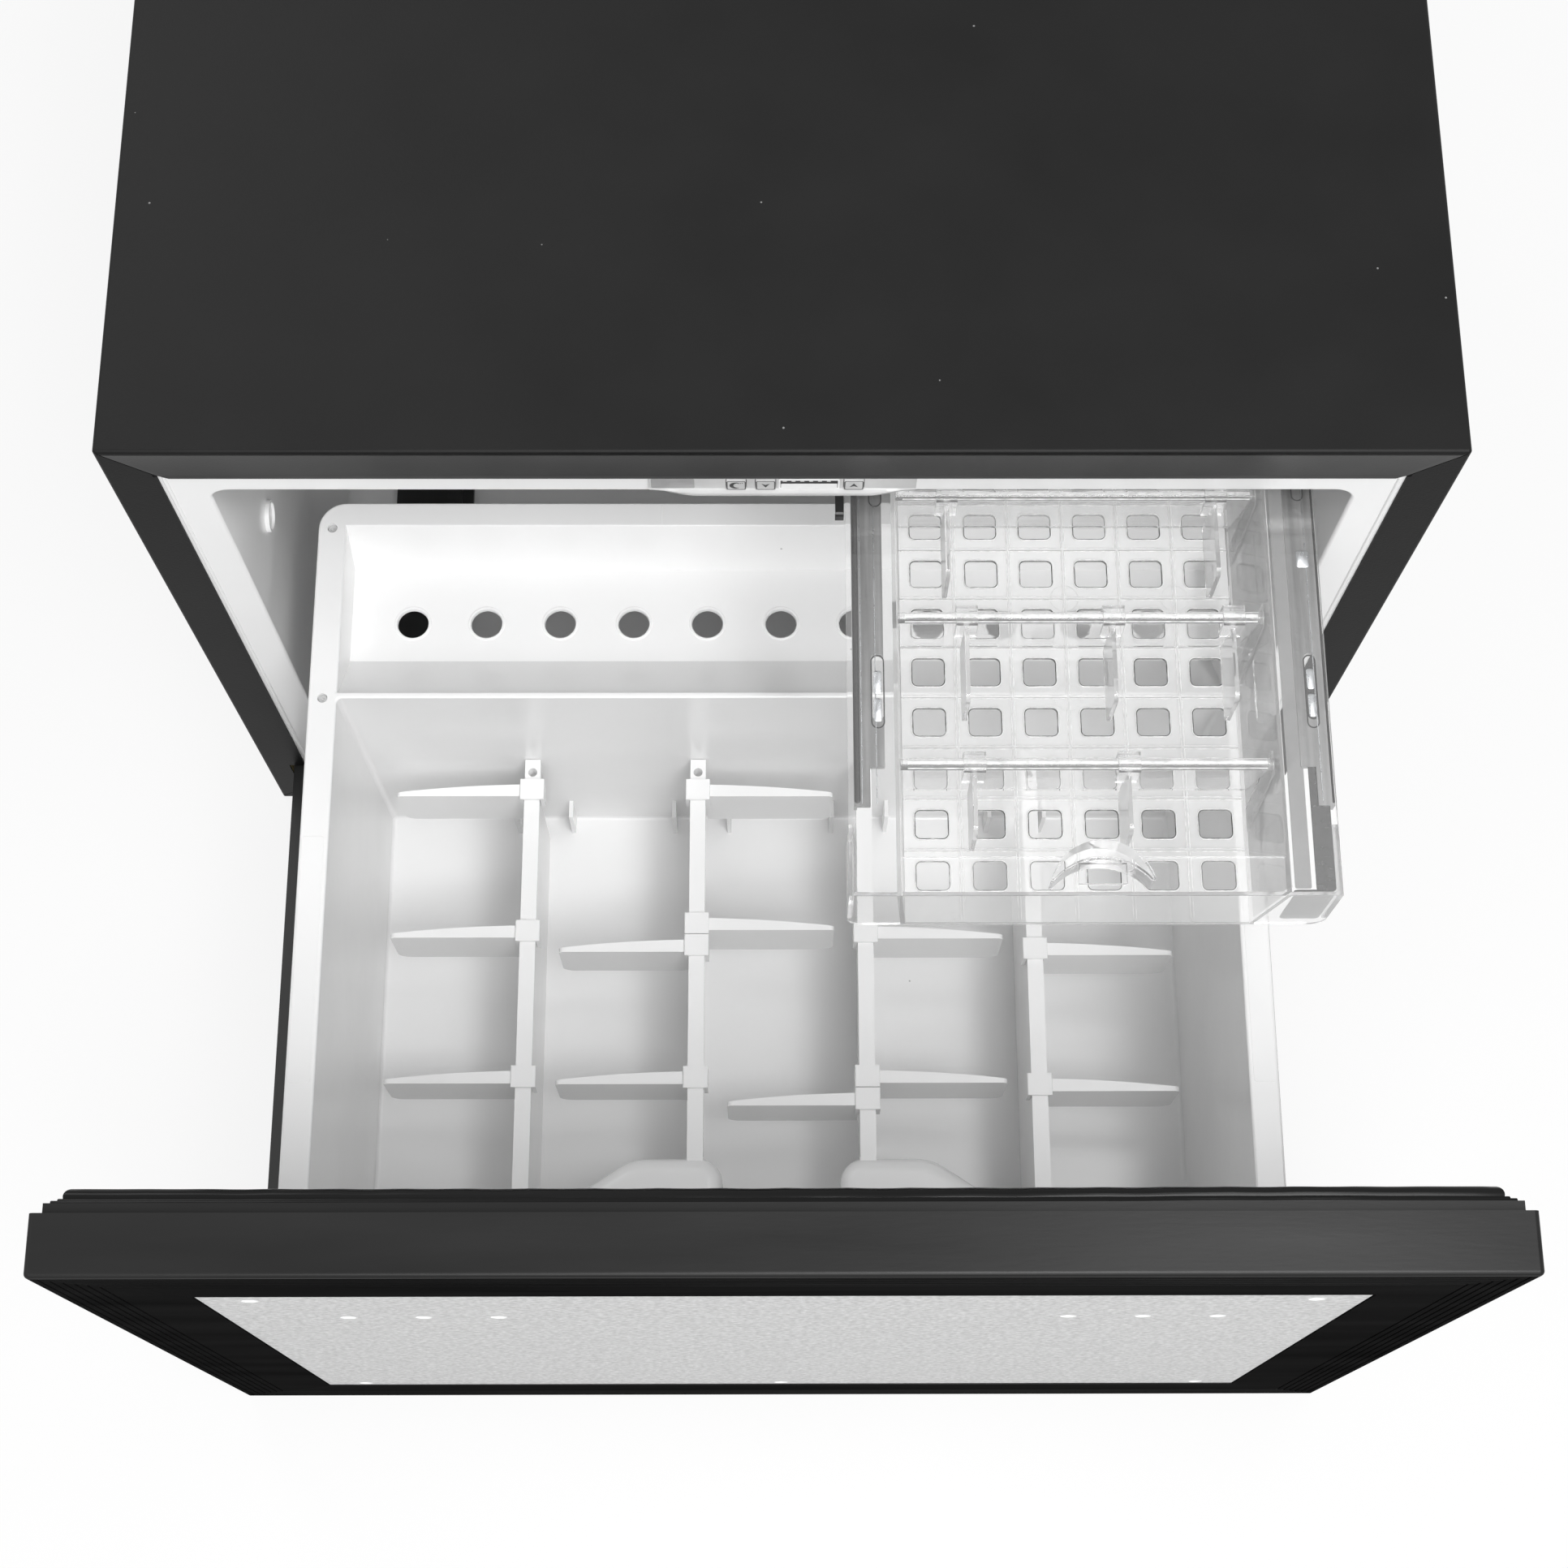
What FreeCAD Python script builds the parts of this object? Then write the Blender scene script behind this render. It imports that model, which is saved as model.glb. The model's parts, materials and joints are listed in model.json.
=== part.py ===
import FreeCAD, Part
import math
import os

# A drawer minibar fridge, in millimetres. +Z is up, +X is right and the front faces -Y.
# The origin is the centre of the flat underside. The drawer stands open, as it is loaded.

# Cabinet
width = 550.0
height = 425.0
depth = 440.0
steel_sheet = 1.0
bend_radius = 1.6
front_flange_width = 21.0
mitre_gap = 0.5
relief_hole_radius = 1.6
rear_lip_width = 14.0
rear_panel_recess = 4.0
rear_screw_rows = 3
rear_screw_columns = 2
rear_screw_length = 3.0

# Liner
side_insulation = 39.0
top_insulation = 37.0
bottom_insulation = 60.0
rear_insulation = 36.0
service_space = 48.0
liner_wall = 2.0
liner_flange_lap = 8.0
liner_corner_radius = 9.0
opening_edge_radius = 1.5
hump_side_gap = 41.0
hump_clearance = 7.5
hump_front_gap = 9.0

# Drawer and its door
drawer_open = 290.0
drawer_rear_gap = 4.0
drawer_side_gap = 19.0
floor_clearance = 10.5
bin_wall = 2.5
bin_depth = 174.0
bin_draft = 2.0
bin_corner_radius = 5.0
bin_floor_radius = 2.0
rim_width = 13.0
rim_thickness = 3.0
rim_skirt = 12.0
rim_corner_radius = 13.0
rim_edge_radius = 1.0
rim_hole_radius = 2.3
rim_hole_depth = 6.0
rim_boss_radius = 4.2
rim_boss_depth = 8.5
shelf_length = 98.3
shelf_recess = 30.0
shelf_rim = 11.8
shelf_rear_slope = 9.5
shelf_front_slope = 27.0
shelf_ridge = 3.0
shelf_hole_radius = 7.5
shelf_hole_pitch = 35.0
shelf_hole_margin = 25.0
shelf_hole_inset = 49.0

door_inset = 1.8
door_top_drop = 4.5
door_bottom_rise = 0.5
door_thickness = 23.5
door_skin = 3.0
door_border = 50.0
door_edge_radius = 2.0
groove_count = 6
groove_pitch = 3.6
groove_width = 1.0
groove_depth = 0.8
groove_margin = 4.0
rear_return = 24.0
lip_inset = 4.0
lip_height = 4.2
gasket_inset = 6.0
gasket_base = 3.2
gasket_bulb = 3.5
gasket_bulb_inset = 3.0
gasket_width = 10.4
gasket_gap = 0.4
door_liner_sheet = 2.0
door_liner_gap = 0.3
panel_thickness = 2.5
panel_recess = 0.5
panel_gap = 0.4
panel_hole_radius = 3.7
panel_hole_side_margin = 19.2
panel_hole_top_margin = 15.0
panel_hole_bottom_margin = 7.0
panel_row_drop = 64.0
panel_row_side_margin = 79.2
panel_row_pitch = 30.0
anchor_wall = 2.0
anchor_length = 11.0
anchor_bore_gap = 0.2

# Dividers in the drawer
compartments = 5
rail_width = 7.5
rail_height = 8.0
rail_top = 90.0
rail_web = 3.0
rail_web_setback = 12.0
rail_hole_radius = 2.2
rail_hole_inset = 6.6
rib_thickness = 2.0
rib_depth = 9.0
rib_height = 26.0
rib_offset = 14.0
fin_reach_gap = 15.0
fin_height = 35.0
fin_root = 6.0
fin_middle = 4.8
fin_tip = 2.0
fin_low_radius = 6.0
fin_high_radius = 2.5
fin_edge_radius = 0.6
collar_length = 10.3
collar_wall = 1.8
collar_drop = 10.5
collar_gap = 0.3
collar_pair_gap = 0.4
rest_inner = 27.5
rest_outer = 70.0
rest_shoulder = 94.0
rest_foot = 104.0
rest_height = 93.0
rest_length = 61.5
rest_shoulder_length = 45.5
rest_inner_radius = 11.0
rest_outer_radius = 24.0
rest_top_radius = 7.0

# Telescopic runners in tunnels at the lower corners, outside the liner
runner_height = 45.0
runner_rise = 3.0
runner_side_gap = 12.7
runner_sheet = 1.6
runner_lip = 1.2
runner_gap = 0.4
runner_lip_reach = 9.0
runner_front_inset = 8.0
runner_rear_gap = 10.0
middle_front_inset = 106.0
middle_rear_gap = 1.0
middle_lip_reach = 7.0
middle_end_radius = 9.0
drawer_member_reach = 6.9
drawer_member_gap = 1.6
drawer_member_rear_gap = 18.0
drawer_member_inset = 9.0
cover_gap = 1.0
left_cover_inset = 2.4
right_cover_inset = 5.6
tunnel_top_gap = 1.5
tunnel_side_gap = 4.0
bracket_length = 40.0
bracket_plate = 30.0
bracket_sheet = 1.5
bracket_leg = 24.0
bracket_gap = 1.5
bracket_screw_margin = 8.0
bracket_screw_pitch = 14.0
screw_radius = 1.5
screw_head_radius = 3.5
screw_head = 1.6
screw_gap = 0.2

# Upper tray and its flat slides
tray_open = 169.0
tray_side_gap = 14.5
tray_width = 195.5
tray_shut_inset = 6.0
tray_rear_gap = 22.0
tray_headroom = 13.0
tray_depth = 42.0
tray_wall = 2.0
tray_flange = 2.5
tray_left_flange = 18.8
tray_right_flange = 19.5
tray_left_lean = 3.3
tray_right_lean = 8.6
tray_front_flange = 16.2
tray_cheek = 30.0
tray_corner_radius = 8.0
floor_plate = 2.0
window_width = 14.2
window_length = 12.8
window_column_pitch = 23.6
window_row_pitch = 22.6
window_radius = 2.5
window_margin = 10.0
window_front_margin = 18.1
floor_rib_width = 0.8
floor_rib_height = 0.7
pull_radius = 21.3
pull_hollow_radius = 25.5
pull_hollow_shift = 11.0
pull_height = 14.0
pull_inset = 1.0
pull_end_inset = 6.5
pull_shift = 3.25
pull_slot_width = 19.4
pull_lip = 3.0
rod_radius = 2.5
rod_drop = 6.0
rod_panel = 1.8
rod_panel_height = 30.0
rod_first = 57.0
rod_second = 121.0
rod_third = 176.5
end_plate = 0.8
end_plate_ahead = 4.0
end_plate_behind = 6.0
end_plate_slant = 15.0
clip_width = 9.0
clip_wall = 1.6
clip_gap = 0.35
clip_drop = 10.0
clip_blade = 36.0
front_clip_blade = 29.0
clip_blade_height = 28.0
clip_blade_thickness = 1.8
slide_width = 12.6
slide_sheet = 2.4
slide_gap = 0.4
slide_lip = 5.5
slide_lip_sheet = 1.2
slide_left_inset = 2.4
slide_right_inset = 0.2
slide_slot_end_radius = 2.4
slide_front_inset = 38.0
slide_rear_gap = 40.0
slide_middle_gap = 28.0
slide_slot_length = 29.0
slide_slot_width = 5.0
slide_slot_inset = 36.8
slide_left_slot = 10.0
slide_right_slot = 6.1
slide_step_length = 16.5
slide_step_width = 6.0
hanger_sheet = 1.5
hanger_gap = 0.6
hanger_cheek_gap = 2.0
hanger_rear_gap = 62.0

# Control module in the white band above the opening
module_half_width = 54.5
module_height = 13.8
module_gap = 0.6
module_front = 1.0
module_body_depth = 9.0
module_body_inset = 4.0
module_body_top_inset = 0.6
key_size = 8.0
key_rise = 1.7
key_gap = 0.3
key_proud = 0.6
key_length = 4.0
key_pocket = 0.9
night_key_x = -19.0
down_key_x = -7.0
up_key_x = 29.0
screen_start = -1.0
screen_end = 22.5
screen_height = 7.6
screen_depth = 1.2

# Thermoelectric cooling unit
plate_half_width = 90.0
plate_height = 100.0
plate_thickness = 2.5
cold_block_size = 60.0
peltier_size = 40.0
peltier_thickness = 4.0
sink_half_width = 60.0
sink_height = 100.0
sink_base = 6.0
sink_fin_length = 17.0
sink_fin_thickness = 1.5
sink_fin_count = 14
fan_size = 80.0
fan_depth = 14.0
fan_bore_radius = 37.0
fan_hub_radius = 14.0
fan_tip_gap = 1.5
fan_pin_radius = 2.0
fan_pin_gap = 0.25
fan_spoke = 4.0
fan_back = 3.0
fan_blade_count = 7
fan_blade_thickness = 1.4
fan_blade_lean = 32.0
fan_end_gap = 0.4
board_width = 110.0
board_height = 70.0
board_thickness = 1.6
board_standoff = 5.0
board_x = 165.0
board_bottom = 96.0
standoff_radius = 3.0
standoff_margin = 7.0
transformer_size = 32.0
transformer_height = 24.0
transformer_inset = 37.0
capacitor_inset = 82.0
capacitor_radius = 7.0
capacitor_length = 22.0
inlet_x = 190.0
inlet_bottom = 44.0
inlet_width = 28.0
inlet_height = 20.0
inlet_depth = 24.0
inlet_rim = 4.0
inlet_rim_thickness = 2.0
inlet_wall = 2.2
inlet_pin_width = 4.0
inlet_pin_thickness = 2.0
inlet_pin_pitch = 7.0
inlet_pin_stagger = 2.0
inlet_pin_length = 14.0
louvre_count = 9
louvre_pitch = 11.0
louvre_height = 4.0
louvre_length = 70.0
louvre_gap = 14.0
fan_slot_count = 7
fan_slot_height = 6.0
fan_slot_pitch = 11.0

# Small pieces on the liner
plug_radius = 7.5
plug_bore_radius = 4.6
plug_gap = 0.2
plug_height = 2.0
plug_recess = 1.2
plug_inset = 44.0
plug_above_rim = 24.0
guide_wall_gap = 26.0
guide_width = 42.0
guide_height = 4.0
guide_rail_width = 12.0
guide_rail_inset = 6.0
guide_rail_height = 1.5
guide_inset = 12.0
guide_rear_gap = 17.0

Vector = FreeCAD.Vector
along_x = Vector(1, 0, 0)
along_y = Vector(0, 1, 0)
along_z = Vector(0, 0, 1)
cut_margin = 5.0
tolerance = 0.1

# Places worked out from the sizes above
half_width = width / 2
front = -depth / 2
rear = depth / 2
cavity_half = half_width - side_insulation
cavity_floor = bottom_insulation
ceiling = height - top_insulation
cavity_rear = rear - service_space - rear_insulation
foam_rear = rear - service_space
panel_face = rear - rear_panel_recess

rim_half = cavity_half - drawer_side_gap
bin_half = rim_half - rim_width
bin_floor = cavity_floor + floor_clearance + bin_wall
rim_top = bin_floor + bin_depth
drawer_rear = cavity_rear - drawer_rear_gap - drawer_open
bin_rear = drawer_rear - shelf_length
hump_top = rim_top - shelf_recess - bin_wall - hump_clearance
hump_front = bin_rear + bin_wall + drawer_open + hump_front_gap
cooler_height = (hump_top + ceiling) / 2

gasket_rear = front - drawer_open - gasket_gap
lip_rear = gasket_rear - gasket_base - gasket_bulb
door_rear = lip_rear - lip_height
door_front = door_rear - door_thickness
door_half = half_width - door_inset
door_top = height - door_top_drop
door_bottom = door_bottom_rise
bin_front = lip_rear + bin_wall
window_half = door_half - door_border
window_top = door_top - door_border
window_bottom = door_bottom + door_border
panel_front = door_front + panel_recess
panel_back = panel_front + panel_thickness

compartment = 2 * (bin_half - bin_draft) / compartments
rail_z = bin_floor + rail_top
rail_rear = bin_rear - collar_gap
runner_z = runner_rise + runner_height / 2
runner_outer = half_width - runner_side_gap
bracket_low = door_bottom + gasket_inset + gasket_width + bracket_gap

tray_right = cavity_half - tray_side_gap
tray_left = tray_right - tray_width
tray_top = ceiling - tray_headroom
tray_bottom = tray_top - tray_depth
tray_front = front - tray_open
tray_rear = cavity_rear - tray_rear_gap - tray_shut_inset - tray_open
basin_left = tray_left + tray_left_flange + tray_wall
basin_right = tray_right - tray_right_flange - tray_wall
basin_front = tray_front + tray_front_flange
rod_z = tray_top - rod_drop
pull_x = (basin_left + basin_right) / 2 + pull_shift
pull_y = tray_front + pull_inset
slide_top = tray_top - tray_flange
module_top = height - front_flange_width - module_gap


def block(x0, x1, y0, y1, z0, z1):
    return Part.makeBox(x1 - x0, y1 - y0, z1 - z0, Vector(x0, y0, z0))


def rod(start, axis, radius, length):
    return Part.makeCylinder(radius, length, start, axis)


def prism(points, direction):
    corners = [Vector(*point) for point in points]
    outline = Part.makePolygon(corners + corners[:1])
    return Part.Face(outline).extrude(direction)


def round_edges(solid, radius, axis, wanted=lambda point: True):
    edges = []
    for edge in solid.Edges:
        straight = isinstance(edge.Curve, Part.Line)
        if straight and edge.tangentAt(edge.FirstParameter).cross(axis).Length < tolerance:
            if wanted(edge.CenterOfMass):
                edges.append(edge)
    return solid.makeFillet(radius, edges)


def rounded_outline(x0, x1, y0, y1, z, radius):
    turns = [
        (x1 - radius, y0 + radius, -90),
        (x1 - radius, y1 - radius, 0),
        (x0 + radius, y1 - radius, 90),
        (x0 + radius, y0 + radius, 180),
    ]
    arcs = []
    for x, y, start in turns:
        circle = Part.Circle(Vector(x, y, z), along_z, radius)
        arcs.append(Part.ArcOfCircle(circle, math.radians(start), math.radians(start + 90)))
    edges = []
    for index, arc in enumerate(arcs):
        following = arcs[(index + 1) % len(arcs)]
        edges.append(arc.toShape())
        edges.append(Part.LineSegment(arc.EndPoint, following.StartPoint).toShape())
    return Part.Wire(edges)


def joined(shapes):
    whole = shapes[0]
    for shape in shapes[1:]:
        whole = whole.fuse(shape)
    return whole.removeSplitter()


def cut_all(solid, tools):
    for tool in tools:
        solid = solid.cut(tool)
    return solid


def mirrored(shape):
    return shape.mirror(Vector(0, 0, 0), along_x)


def both_sides(shape):
    return [shape, mirrored(shape)]


def save(name, shapes):
    pieces = shapes if isinstance(shapes, list) else [shapes]
    whole = pieces[0] if len(pieces) == 1 else Part.makeCompound(pieces)
    whole.exportStep("parts/" + name + ".step")


# Painted steel wrap: top and sides from one sheet, with the front edge folded in
def make_outer_wrap():
    solid = block(-half_width, half_width, front, rear, 0, height)
    solid = solid.makeFillet(bend_radius, folded_edges(solid))
    inside = half_width - steel_sheet
    within = block(
        -inside, inside, front + steel_sheet, rear + cut_margin, -cut_margin, height - steel_sheet
    )
    solid = solid.cut(within)
    edge = half_width - front_flange_width
    opening = block(
        -edge, edge, front - cut_margin, front + cut_margin, -cut_margin, height - front_flange_width
    )
    solid = solid.cut(opening)
    solid = cut_all(solid, corner_slits())
    foot = prism(
        [
            (half_width - steel_sheet, front - cut_margin, -cut_margin),
            (half_width - steel_sheet, front - cut_margin, steel_sheet + mitre_gap),
            (edge, front - cut_margin, front_flange_width + mitre_gap),
            (edge - cut_margin, front - cut_margin, front_flange_width + mitre_gap),
            (edge - cut_margin, front - cut_margin, -cut_margin),
        ],
        Vector(0, cut_margin + steel_sheet, 0),
    )
    solid = cut_all(solid, both_sides(foot) + runner_tunnels(front - cut_margin, front + cut_margin))
    lip_front = panel_face - 2 * steel_sheet
    lip = block(-inside, inside, lip_front, lip_front + steel_sheet, steel_sheet, height - steel_sheet)
    lip_edge = inside - rear_lip_width
    lip = lip.cut(
        block(
            -lip_edge,
            lip_edge,
            lip_front - cut_margin,
            lip_front + cut_margin,
            0,
            height - steel_sheet - rear_lip_width,
        )
    )
    return joined([solid, cut_all(lip, rear_screw_holes())])


# Edges where the sheet is bent: round the front, and along the top of both sides
def folded_edges(solid):
    edges = []
    for edge in solid.Edges:
        box = edge.BoundBox
        middle = edge.CenterOfMass
        at_front = box.YMax < front + tolerance and middle.z > tolerance
        at_top = box.ZMin > height - tolerance and abs(middle.x) > half_width - tolerance
        if at_front or at_top:
            edges.append(edge)
    return edges


# Open mitre lines of the folded front, with a round relief at each inner corner
def corner_slits():
    reach = front_flange_width - bend_radius
    start = front - cut_margin
    slit = block(0, reach * math.sqrt(2), start, front + steel_sheet, -mitre_gap / 2, mitre_gap / 2)
    slit.rotate(Vector(0, 0, 0), along_y, -45)
    inner_x = half_width - front_flange_width
    inner_z = height - front_flange_width
    slit.translate(Vector(inner_x, 0, inner_z))
    relief = rod(Vector(inner_x, start, inner_z), along_y, relief_hole_radius, cut_margin + steel_sheet)
    return both_sides(slit) + both_sides(relief)


def rear_screw_places():
    inset = steel_sheet + rear_lip_width / 2
    places = []
    for row in range(rear_screw_rows):
        z = height * (row + 0.5) / rear_screw_rows
        places.append((-half_width + inset, z))
        places.append((half_width - inset, z))
    for column in range(rear_screw_columns):
        x = width * (column + 0.5) / rear_screw_columns - half_width
        places.append((x, height - inset))
        places.append((x, inset))
    return places


def rear_screw_holes():
    holes = []
    for x, z in rear_screw_places():
        start = Vector(x, panel_face - cut_margin, z)
        holes.append(rod(start, along_y, screw_radius + screw_gap, 2 * cut_margin))
    return holes


# Flat base with its own folded front strip and rear lip
def make_base_pan():
    inside = half_width - steel_sheet
    floor = block(-inside, inside, front, panel_face - steel_sheet, 0, steel_sheet)
    edge = half_width - front_flange_width
    strip = prism(
        [
            (-inside, front, steel_sheet),
            (inside, front, steel_sheet),
            (edge, front, front_flange_width),
            (-edge, front, front_flange_width),
        ],
        Vector(0, steel_sheet, 0),
    )
    lip_front = panel_face - 2 * steel_sheet
    lip_half = inside - rear_lip_width - steel_sheet
    lip = block(
        -lip_half, lip_half, lip_front, lip_front + steel_sheet, steel_sheet, steel_sheet + rear_lip_width
    )
    strip = cut_all(strip, runner_tunnels(front - cut_margin, front + cut_margin))
    return joined([floor, strip, cut_all(lip, rear_screw_holes())])


def make_rear_panel():
    inside = half_width - steel_sheet
    panel = block(-inside, inside, panel_face - steel_sheet, panel_face, steel_sheet, height - steel_sheet)
    cuts = rear_screw_holes()
    for index in range(louvre_count):
        z = cooler_height + plate_height / 2 - index * louvre_pitch
        for side in (-1, 1):
            centre = side * (fan_size / 2 + louvre_gap + louvre_length / 2)
            x0 = centre - louvre_length / 2
            cuts.append(through_panel(x0, x0 + louvre_length, z - louvre_height, z))
    for index in range(fan_slot_count):
        z = cooler_height + (index - (fan_slot_count - 1) / 2) * fan_slot_pitch
        reach = math.sqrt(fan_bore_radius ** 2 - (z - cooler_height) ** 2)
        cuts.append(through_panel(-reach, reach, z - fan_slot_height / 2, z + fan_slot_height / 2))
    inlet_half = inlet_width / 2
    cuts.append(
        through_panel(inlet_x - inlet_half, inlet_x + inlet_half, inlet_bottom, inlet_bottom + inlet_height)
    )
    return cut_all(panel, cuts)


def through_panel(x0, x1, z0, z1):
    return block(x0, x1, panel_face - cut_margin, panel_face + cut_margin, z0, z1)


def make_rear_screws():
    screws = []
    for x, z in rear_screw_places():
        head = rod(Vector(x, panel_face, z), along_y, screw_head_radius, screw_head)
        start = Vector(x, panel_face - rear_screw_length, z)
        shank = rod(start, along_y, screw_radius, rear_screw_length)
        screws.append(head.fuse(shank))
    return screws


# Space inside the liner, grown by a margin for the liner's own outside
def liner_space(margin, front_face):
    half = cavity_half + margin
    radius = liner_corner_radius + margin
    space = block(-half, half, front_face, cavity_rear + margin, cavity_floor - margin, ceiling + margin)
    space = round_edges(space, radius, along_y)
    hump_half = cavity_half - hump_side_gap - margin
    hump = block(
        -hump_half,
        hump_half,
        hump_front + margin,
        cavity_rear + margin + cut_margin,
        cavity_floor - margin - cut_margin,
        hump_top - margin,
    )
    return space.cut(hump)


def make_inner_liner():
    flange_front = front + steel_sheet
    lap_x = half_width - front_flange_width + liner_flange_lap
    lap_z = height - front_flange_width + liner_flange_lap
    flange = block(
        -lap_x,
        lap_x,
        flange_front,
        flange_front + liner_wall,
        front_flange_width - liner_flange_lap,
        lap_z,
    )
    shell = joined([flange, liner_space(liner_wall, flange_front)])
    shell = shell.cut(liner_space(0, flange_front - cut_margin))
    rim = []
    for edge in shell.Edges:
        box = edge.BoundBox
        in_width = max(abs(box.XMin), abs(box.XMax)) < cavity_half + tolerance
        in_height = box.ZMin > cavity_floor - tolerance and box.ZMax < ceiling + tolerance
        if in_width and in_height and box.YMax < flange_front + tolerance:
            rim.append(edge)
    shell = shell.makeFillet(opening_edge_radius, rim)
    block_half = cold_block_size / 2
    passage = block(
        -block_half,
        block_half,
        cavity_rear - cut_margin,
        cavity_rear + cut_margin,
        cooler_height - block_half,
        cooler_height + block_half,
    )
    plugs = []
    for side in (-1, 1):
        start = Vector(side * (cavity_half - cut_margin), front + plug_inset, rim_top + plug_above_rim)
        plugs.append(rod(start, along_x * side, plug_bore_radius, 2 * cut_margin))
    tunnels = runner_tunnels(front, front + cut_margin)
    return cut_all(shell, [passage, module_body_space()] + plugs + tunnels)


def module_body_space():
    half = module_half_width - module_body_inset
    top = module_top - module_body_top_inset
    bottom = module_top - module_height + module_body_inset / 2
    return block(-half, half, front - cut_margin, front + steel_sheet + module_body_depth, bottom, top)


def make_foam():
    inside = half_width - steel_sheet
    foam = block(-inside, inside, front + steel_sheet, foam_rear, steel_sheet, height - steel_sheet)
    flange_front = front + steel_sheet
    lap_x = half_width - front_flange_width + liner_flange_lap
    lap_z = height - front_flange_width + liner_flange_lap
    flange = block(
        -lap_x,
        lap_x,
        flange_front - cut_margin,
        flange_front + liner_wall,
        front_flange_width - liner_flange_lap,
        lap_z,
    )
    half = cold_block_size / 2
    cold = block(
        -half, half, cavity_rear, foam_rear + cut_margin, cooler_height - half, cooler_height + half
    )
    sockets = []
    for side in (-1, 1):
        start = Vector(side * cavity_half, front + plug_inset, rim_top + plug_above_rim)
        sockets.append(rod(start, along_x * side, plug_bore_radius, plug_depth()))
    tools = [flange, liner_space(liner_wall, flange_front), cold, module_body_space()]
    return cut_all(foam, tools + sockets + runner_tunnels(front, cavity_rear))


def plug_depth():
    return liner_wall + plug_height + cut_margin


def make_wall_plugs():
    plugs = []
    for side in (-1, 1):
        outward = along_x * side
        wall = Vector(side * cavity_half, front + plug_inset, rim_top + plug_above_rim)
        head = rod(wall - outward * plug_height, outward, plug_radius, plug_height)
        dish = rod(wall - outward * plug_height, outward, plug_radius - plug_recess, plug_recess)
        stem = rod(wall, outward, plug_bore_radius - plug_gap, plug_depth())
        plugs.append(head.cut(dish).fuse(stem))
    return plugs


# Black floor strip with a steel wear rail along the left of the cavity floor
def make_floor_guide():
    x0 = -cavity_half + guide_wall_gap
    y0 = front + guide_inset
    y1 = hump_front - guide_rear_gap
    strip = block(x0, x0 + guide_width, y0, y1, cavity_floor, cavity_floor + guide_height)
    rail_end = x0 + guide_width - guide_rail_inset
    top = cavity_floor + guide_height
    wear = block(rail_end - guide_rail_width, rail_end, y0, y1, top, top + guide_rail_height)
    return [strip, wear]


# Open steel channel on its side: a web with two lips turned towards the drawer
def channel(web_outer, sheet, reach, tall, lip, y0, y1):
    web_inner = web_outer - sheet
    z0 = runner_z - tall / 2
    z1 = runner_z + tall / 2
    web = block(web_inner, web_outer, y0, y1, z0, z1)
    upper = block(web_inner - reach, web_inner, y0, y1, z1 - lip, z1)
    lower = block(web_inner - reach, web_inner, y0, y1, z0, z0 + lip)
    return joined([web, upper, lower])


def middle_height():
    return runner_height - 2 * (runner_lip + runner_gap)


def inner_height():
    return middle_height() - 2 * (runner_lip + runner_gap)


def middle_outer():
    return runner_outer - runner_sheet - runner_gap


# Inner face of the drawer members, where the brackets hold them
def drawer_member_inner():
    return middle_outer() - 2 * runner_sheet - drawer_member_gap - drawer_member_reach


def cover_top():
    return runner_z + runner_height / 2 + cover_gap + runner_lip


# Room for the runners beside the base, open to the front
def runner_tunnels(y0, y1):
    inner = drawer_member_inner() - bracket_sheet - tunnel_side_gap
    return both_sides(block(inner, runner_outer, y0, y1, steel_sheet, cover_top() + tunnel_top_gap))


def make_runner_cabinet_members():
    y0 = front + runner_front_inset
    y1 = cavity_rear - runner_rear_gap
    member = channel(runner_outer, runner_sheet, runner_lip_reach, runner_height, runner_lip, y0, y1)
    return both_sides(member)


def make_runner_middle_members():
    y0 = front + middle_front_inset - drawer_open / 2
    y1 = cavity_rear - runner_rear_gap - middle_rear_gap - drawer_open / 2
    member = channel(middle_outer(), runner_sheet, middle_lip_reach, middle_height(), runner_lip, y0, y1)
    edge = middle_height() / 2 - tolerance
    corners = lambda point: point.y < y0 + tolerance and abs(point.z - runner_z) > edge
    return both_sides(round_edges(member, middle_end_radius, along_x, corners))


# Drawer members: a strip that runs inside the middle member, with a cover over the runner
def make_runner_drawer_members():
    y0 = lip_rear + drawer_member_inset
    y1 = drawer_rear - drawer_member_rear_gap
    inner = drawer_member_inner()
    outer = inner + runner_sheet
    z0 = runner_z - inner_height() / 2
    z1 = runner_z + inner_height() / 2
    web = block(inner, outer, y0, y1, z0, cover_top())
    upper = block(outer, outer + drawer_member_reach, y0, y1, z1 - runner_lip, z1)
    lower = block(outer, outer + drawer_member_reach, y0, y1, z0, z0 + runner_lip)
    covers = []
    for inset in (right_cover_inset, left_cover_inset):
        covers.append(block(outer, runner_outer - inset, y0, y1, cover_top() - runner_lip, cover_top()))
    right, left = (joined([web, upper, lower, cover]) for cover in covers)
    return [right, mirrored(left)]


# Angles that fix the front ends of the drawer members to the back of the door
def make_runner_brackets():
    face = drawer_member_inner()
    high = bracket_low + bracket_leg
    tongue = block(face - bracket_sheet, face, lip_rear, lip_rear + bracket_length, bracket_low, high)
    plate = block(face - bracket_plate, face, lip_rear, lip_rear + bracket_sheet, bracket_low, high)
    return both_sides(cut_all(joined([tongue, plate]), bracket_screw_holes()))


def bracket_screw_places():
    first = drawer_member_inner() - bracket_plate + bracket_screw_margin
    z = bracket_low + bracket_leg / 2
    return [(first, z), (first + bracket_screw_pitch, z)]


def bracket_screw_holes():
    holes = []
    for x, z in bracket_screw_places():
        start = Vector(x, lip_rear - door_liner_sheet - cut_margin, z)
        holes.append(rod(start, along_y, screw_radius + screw_gap, 3 * cut_margin))
    return holes


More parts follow.
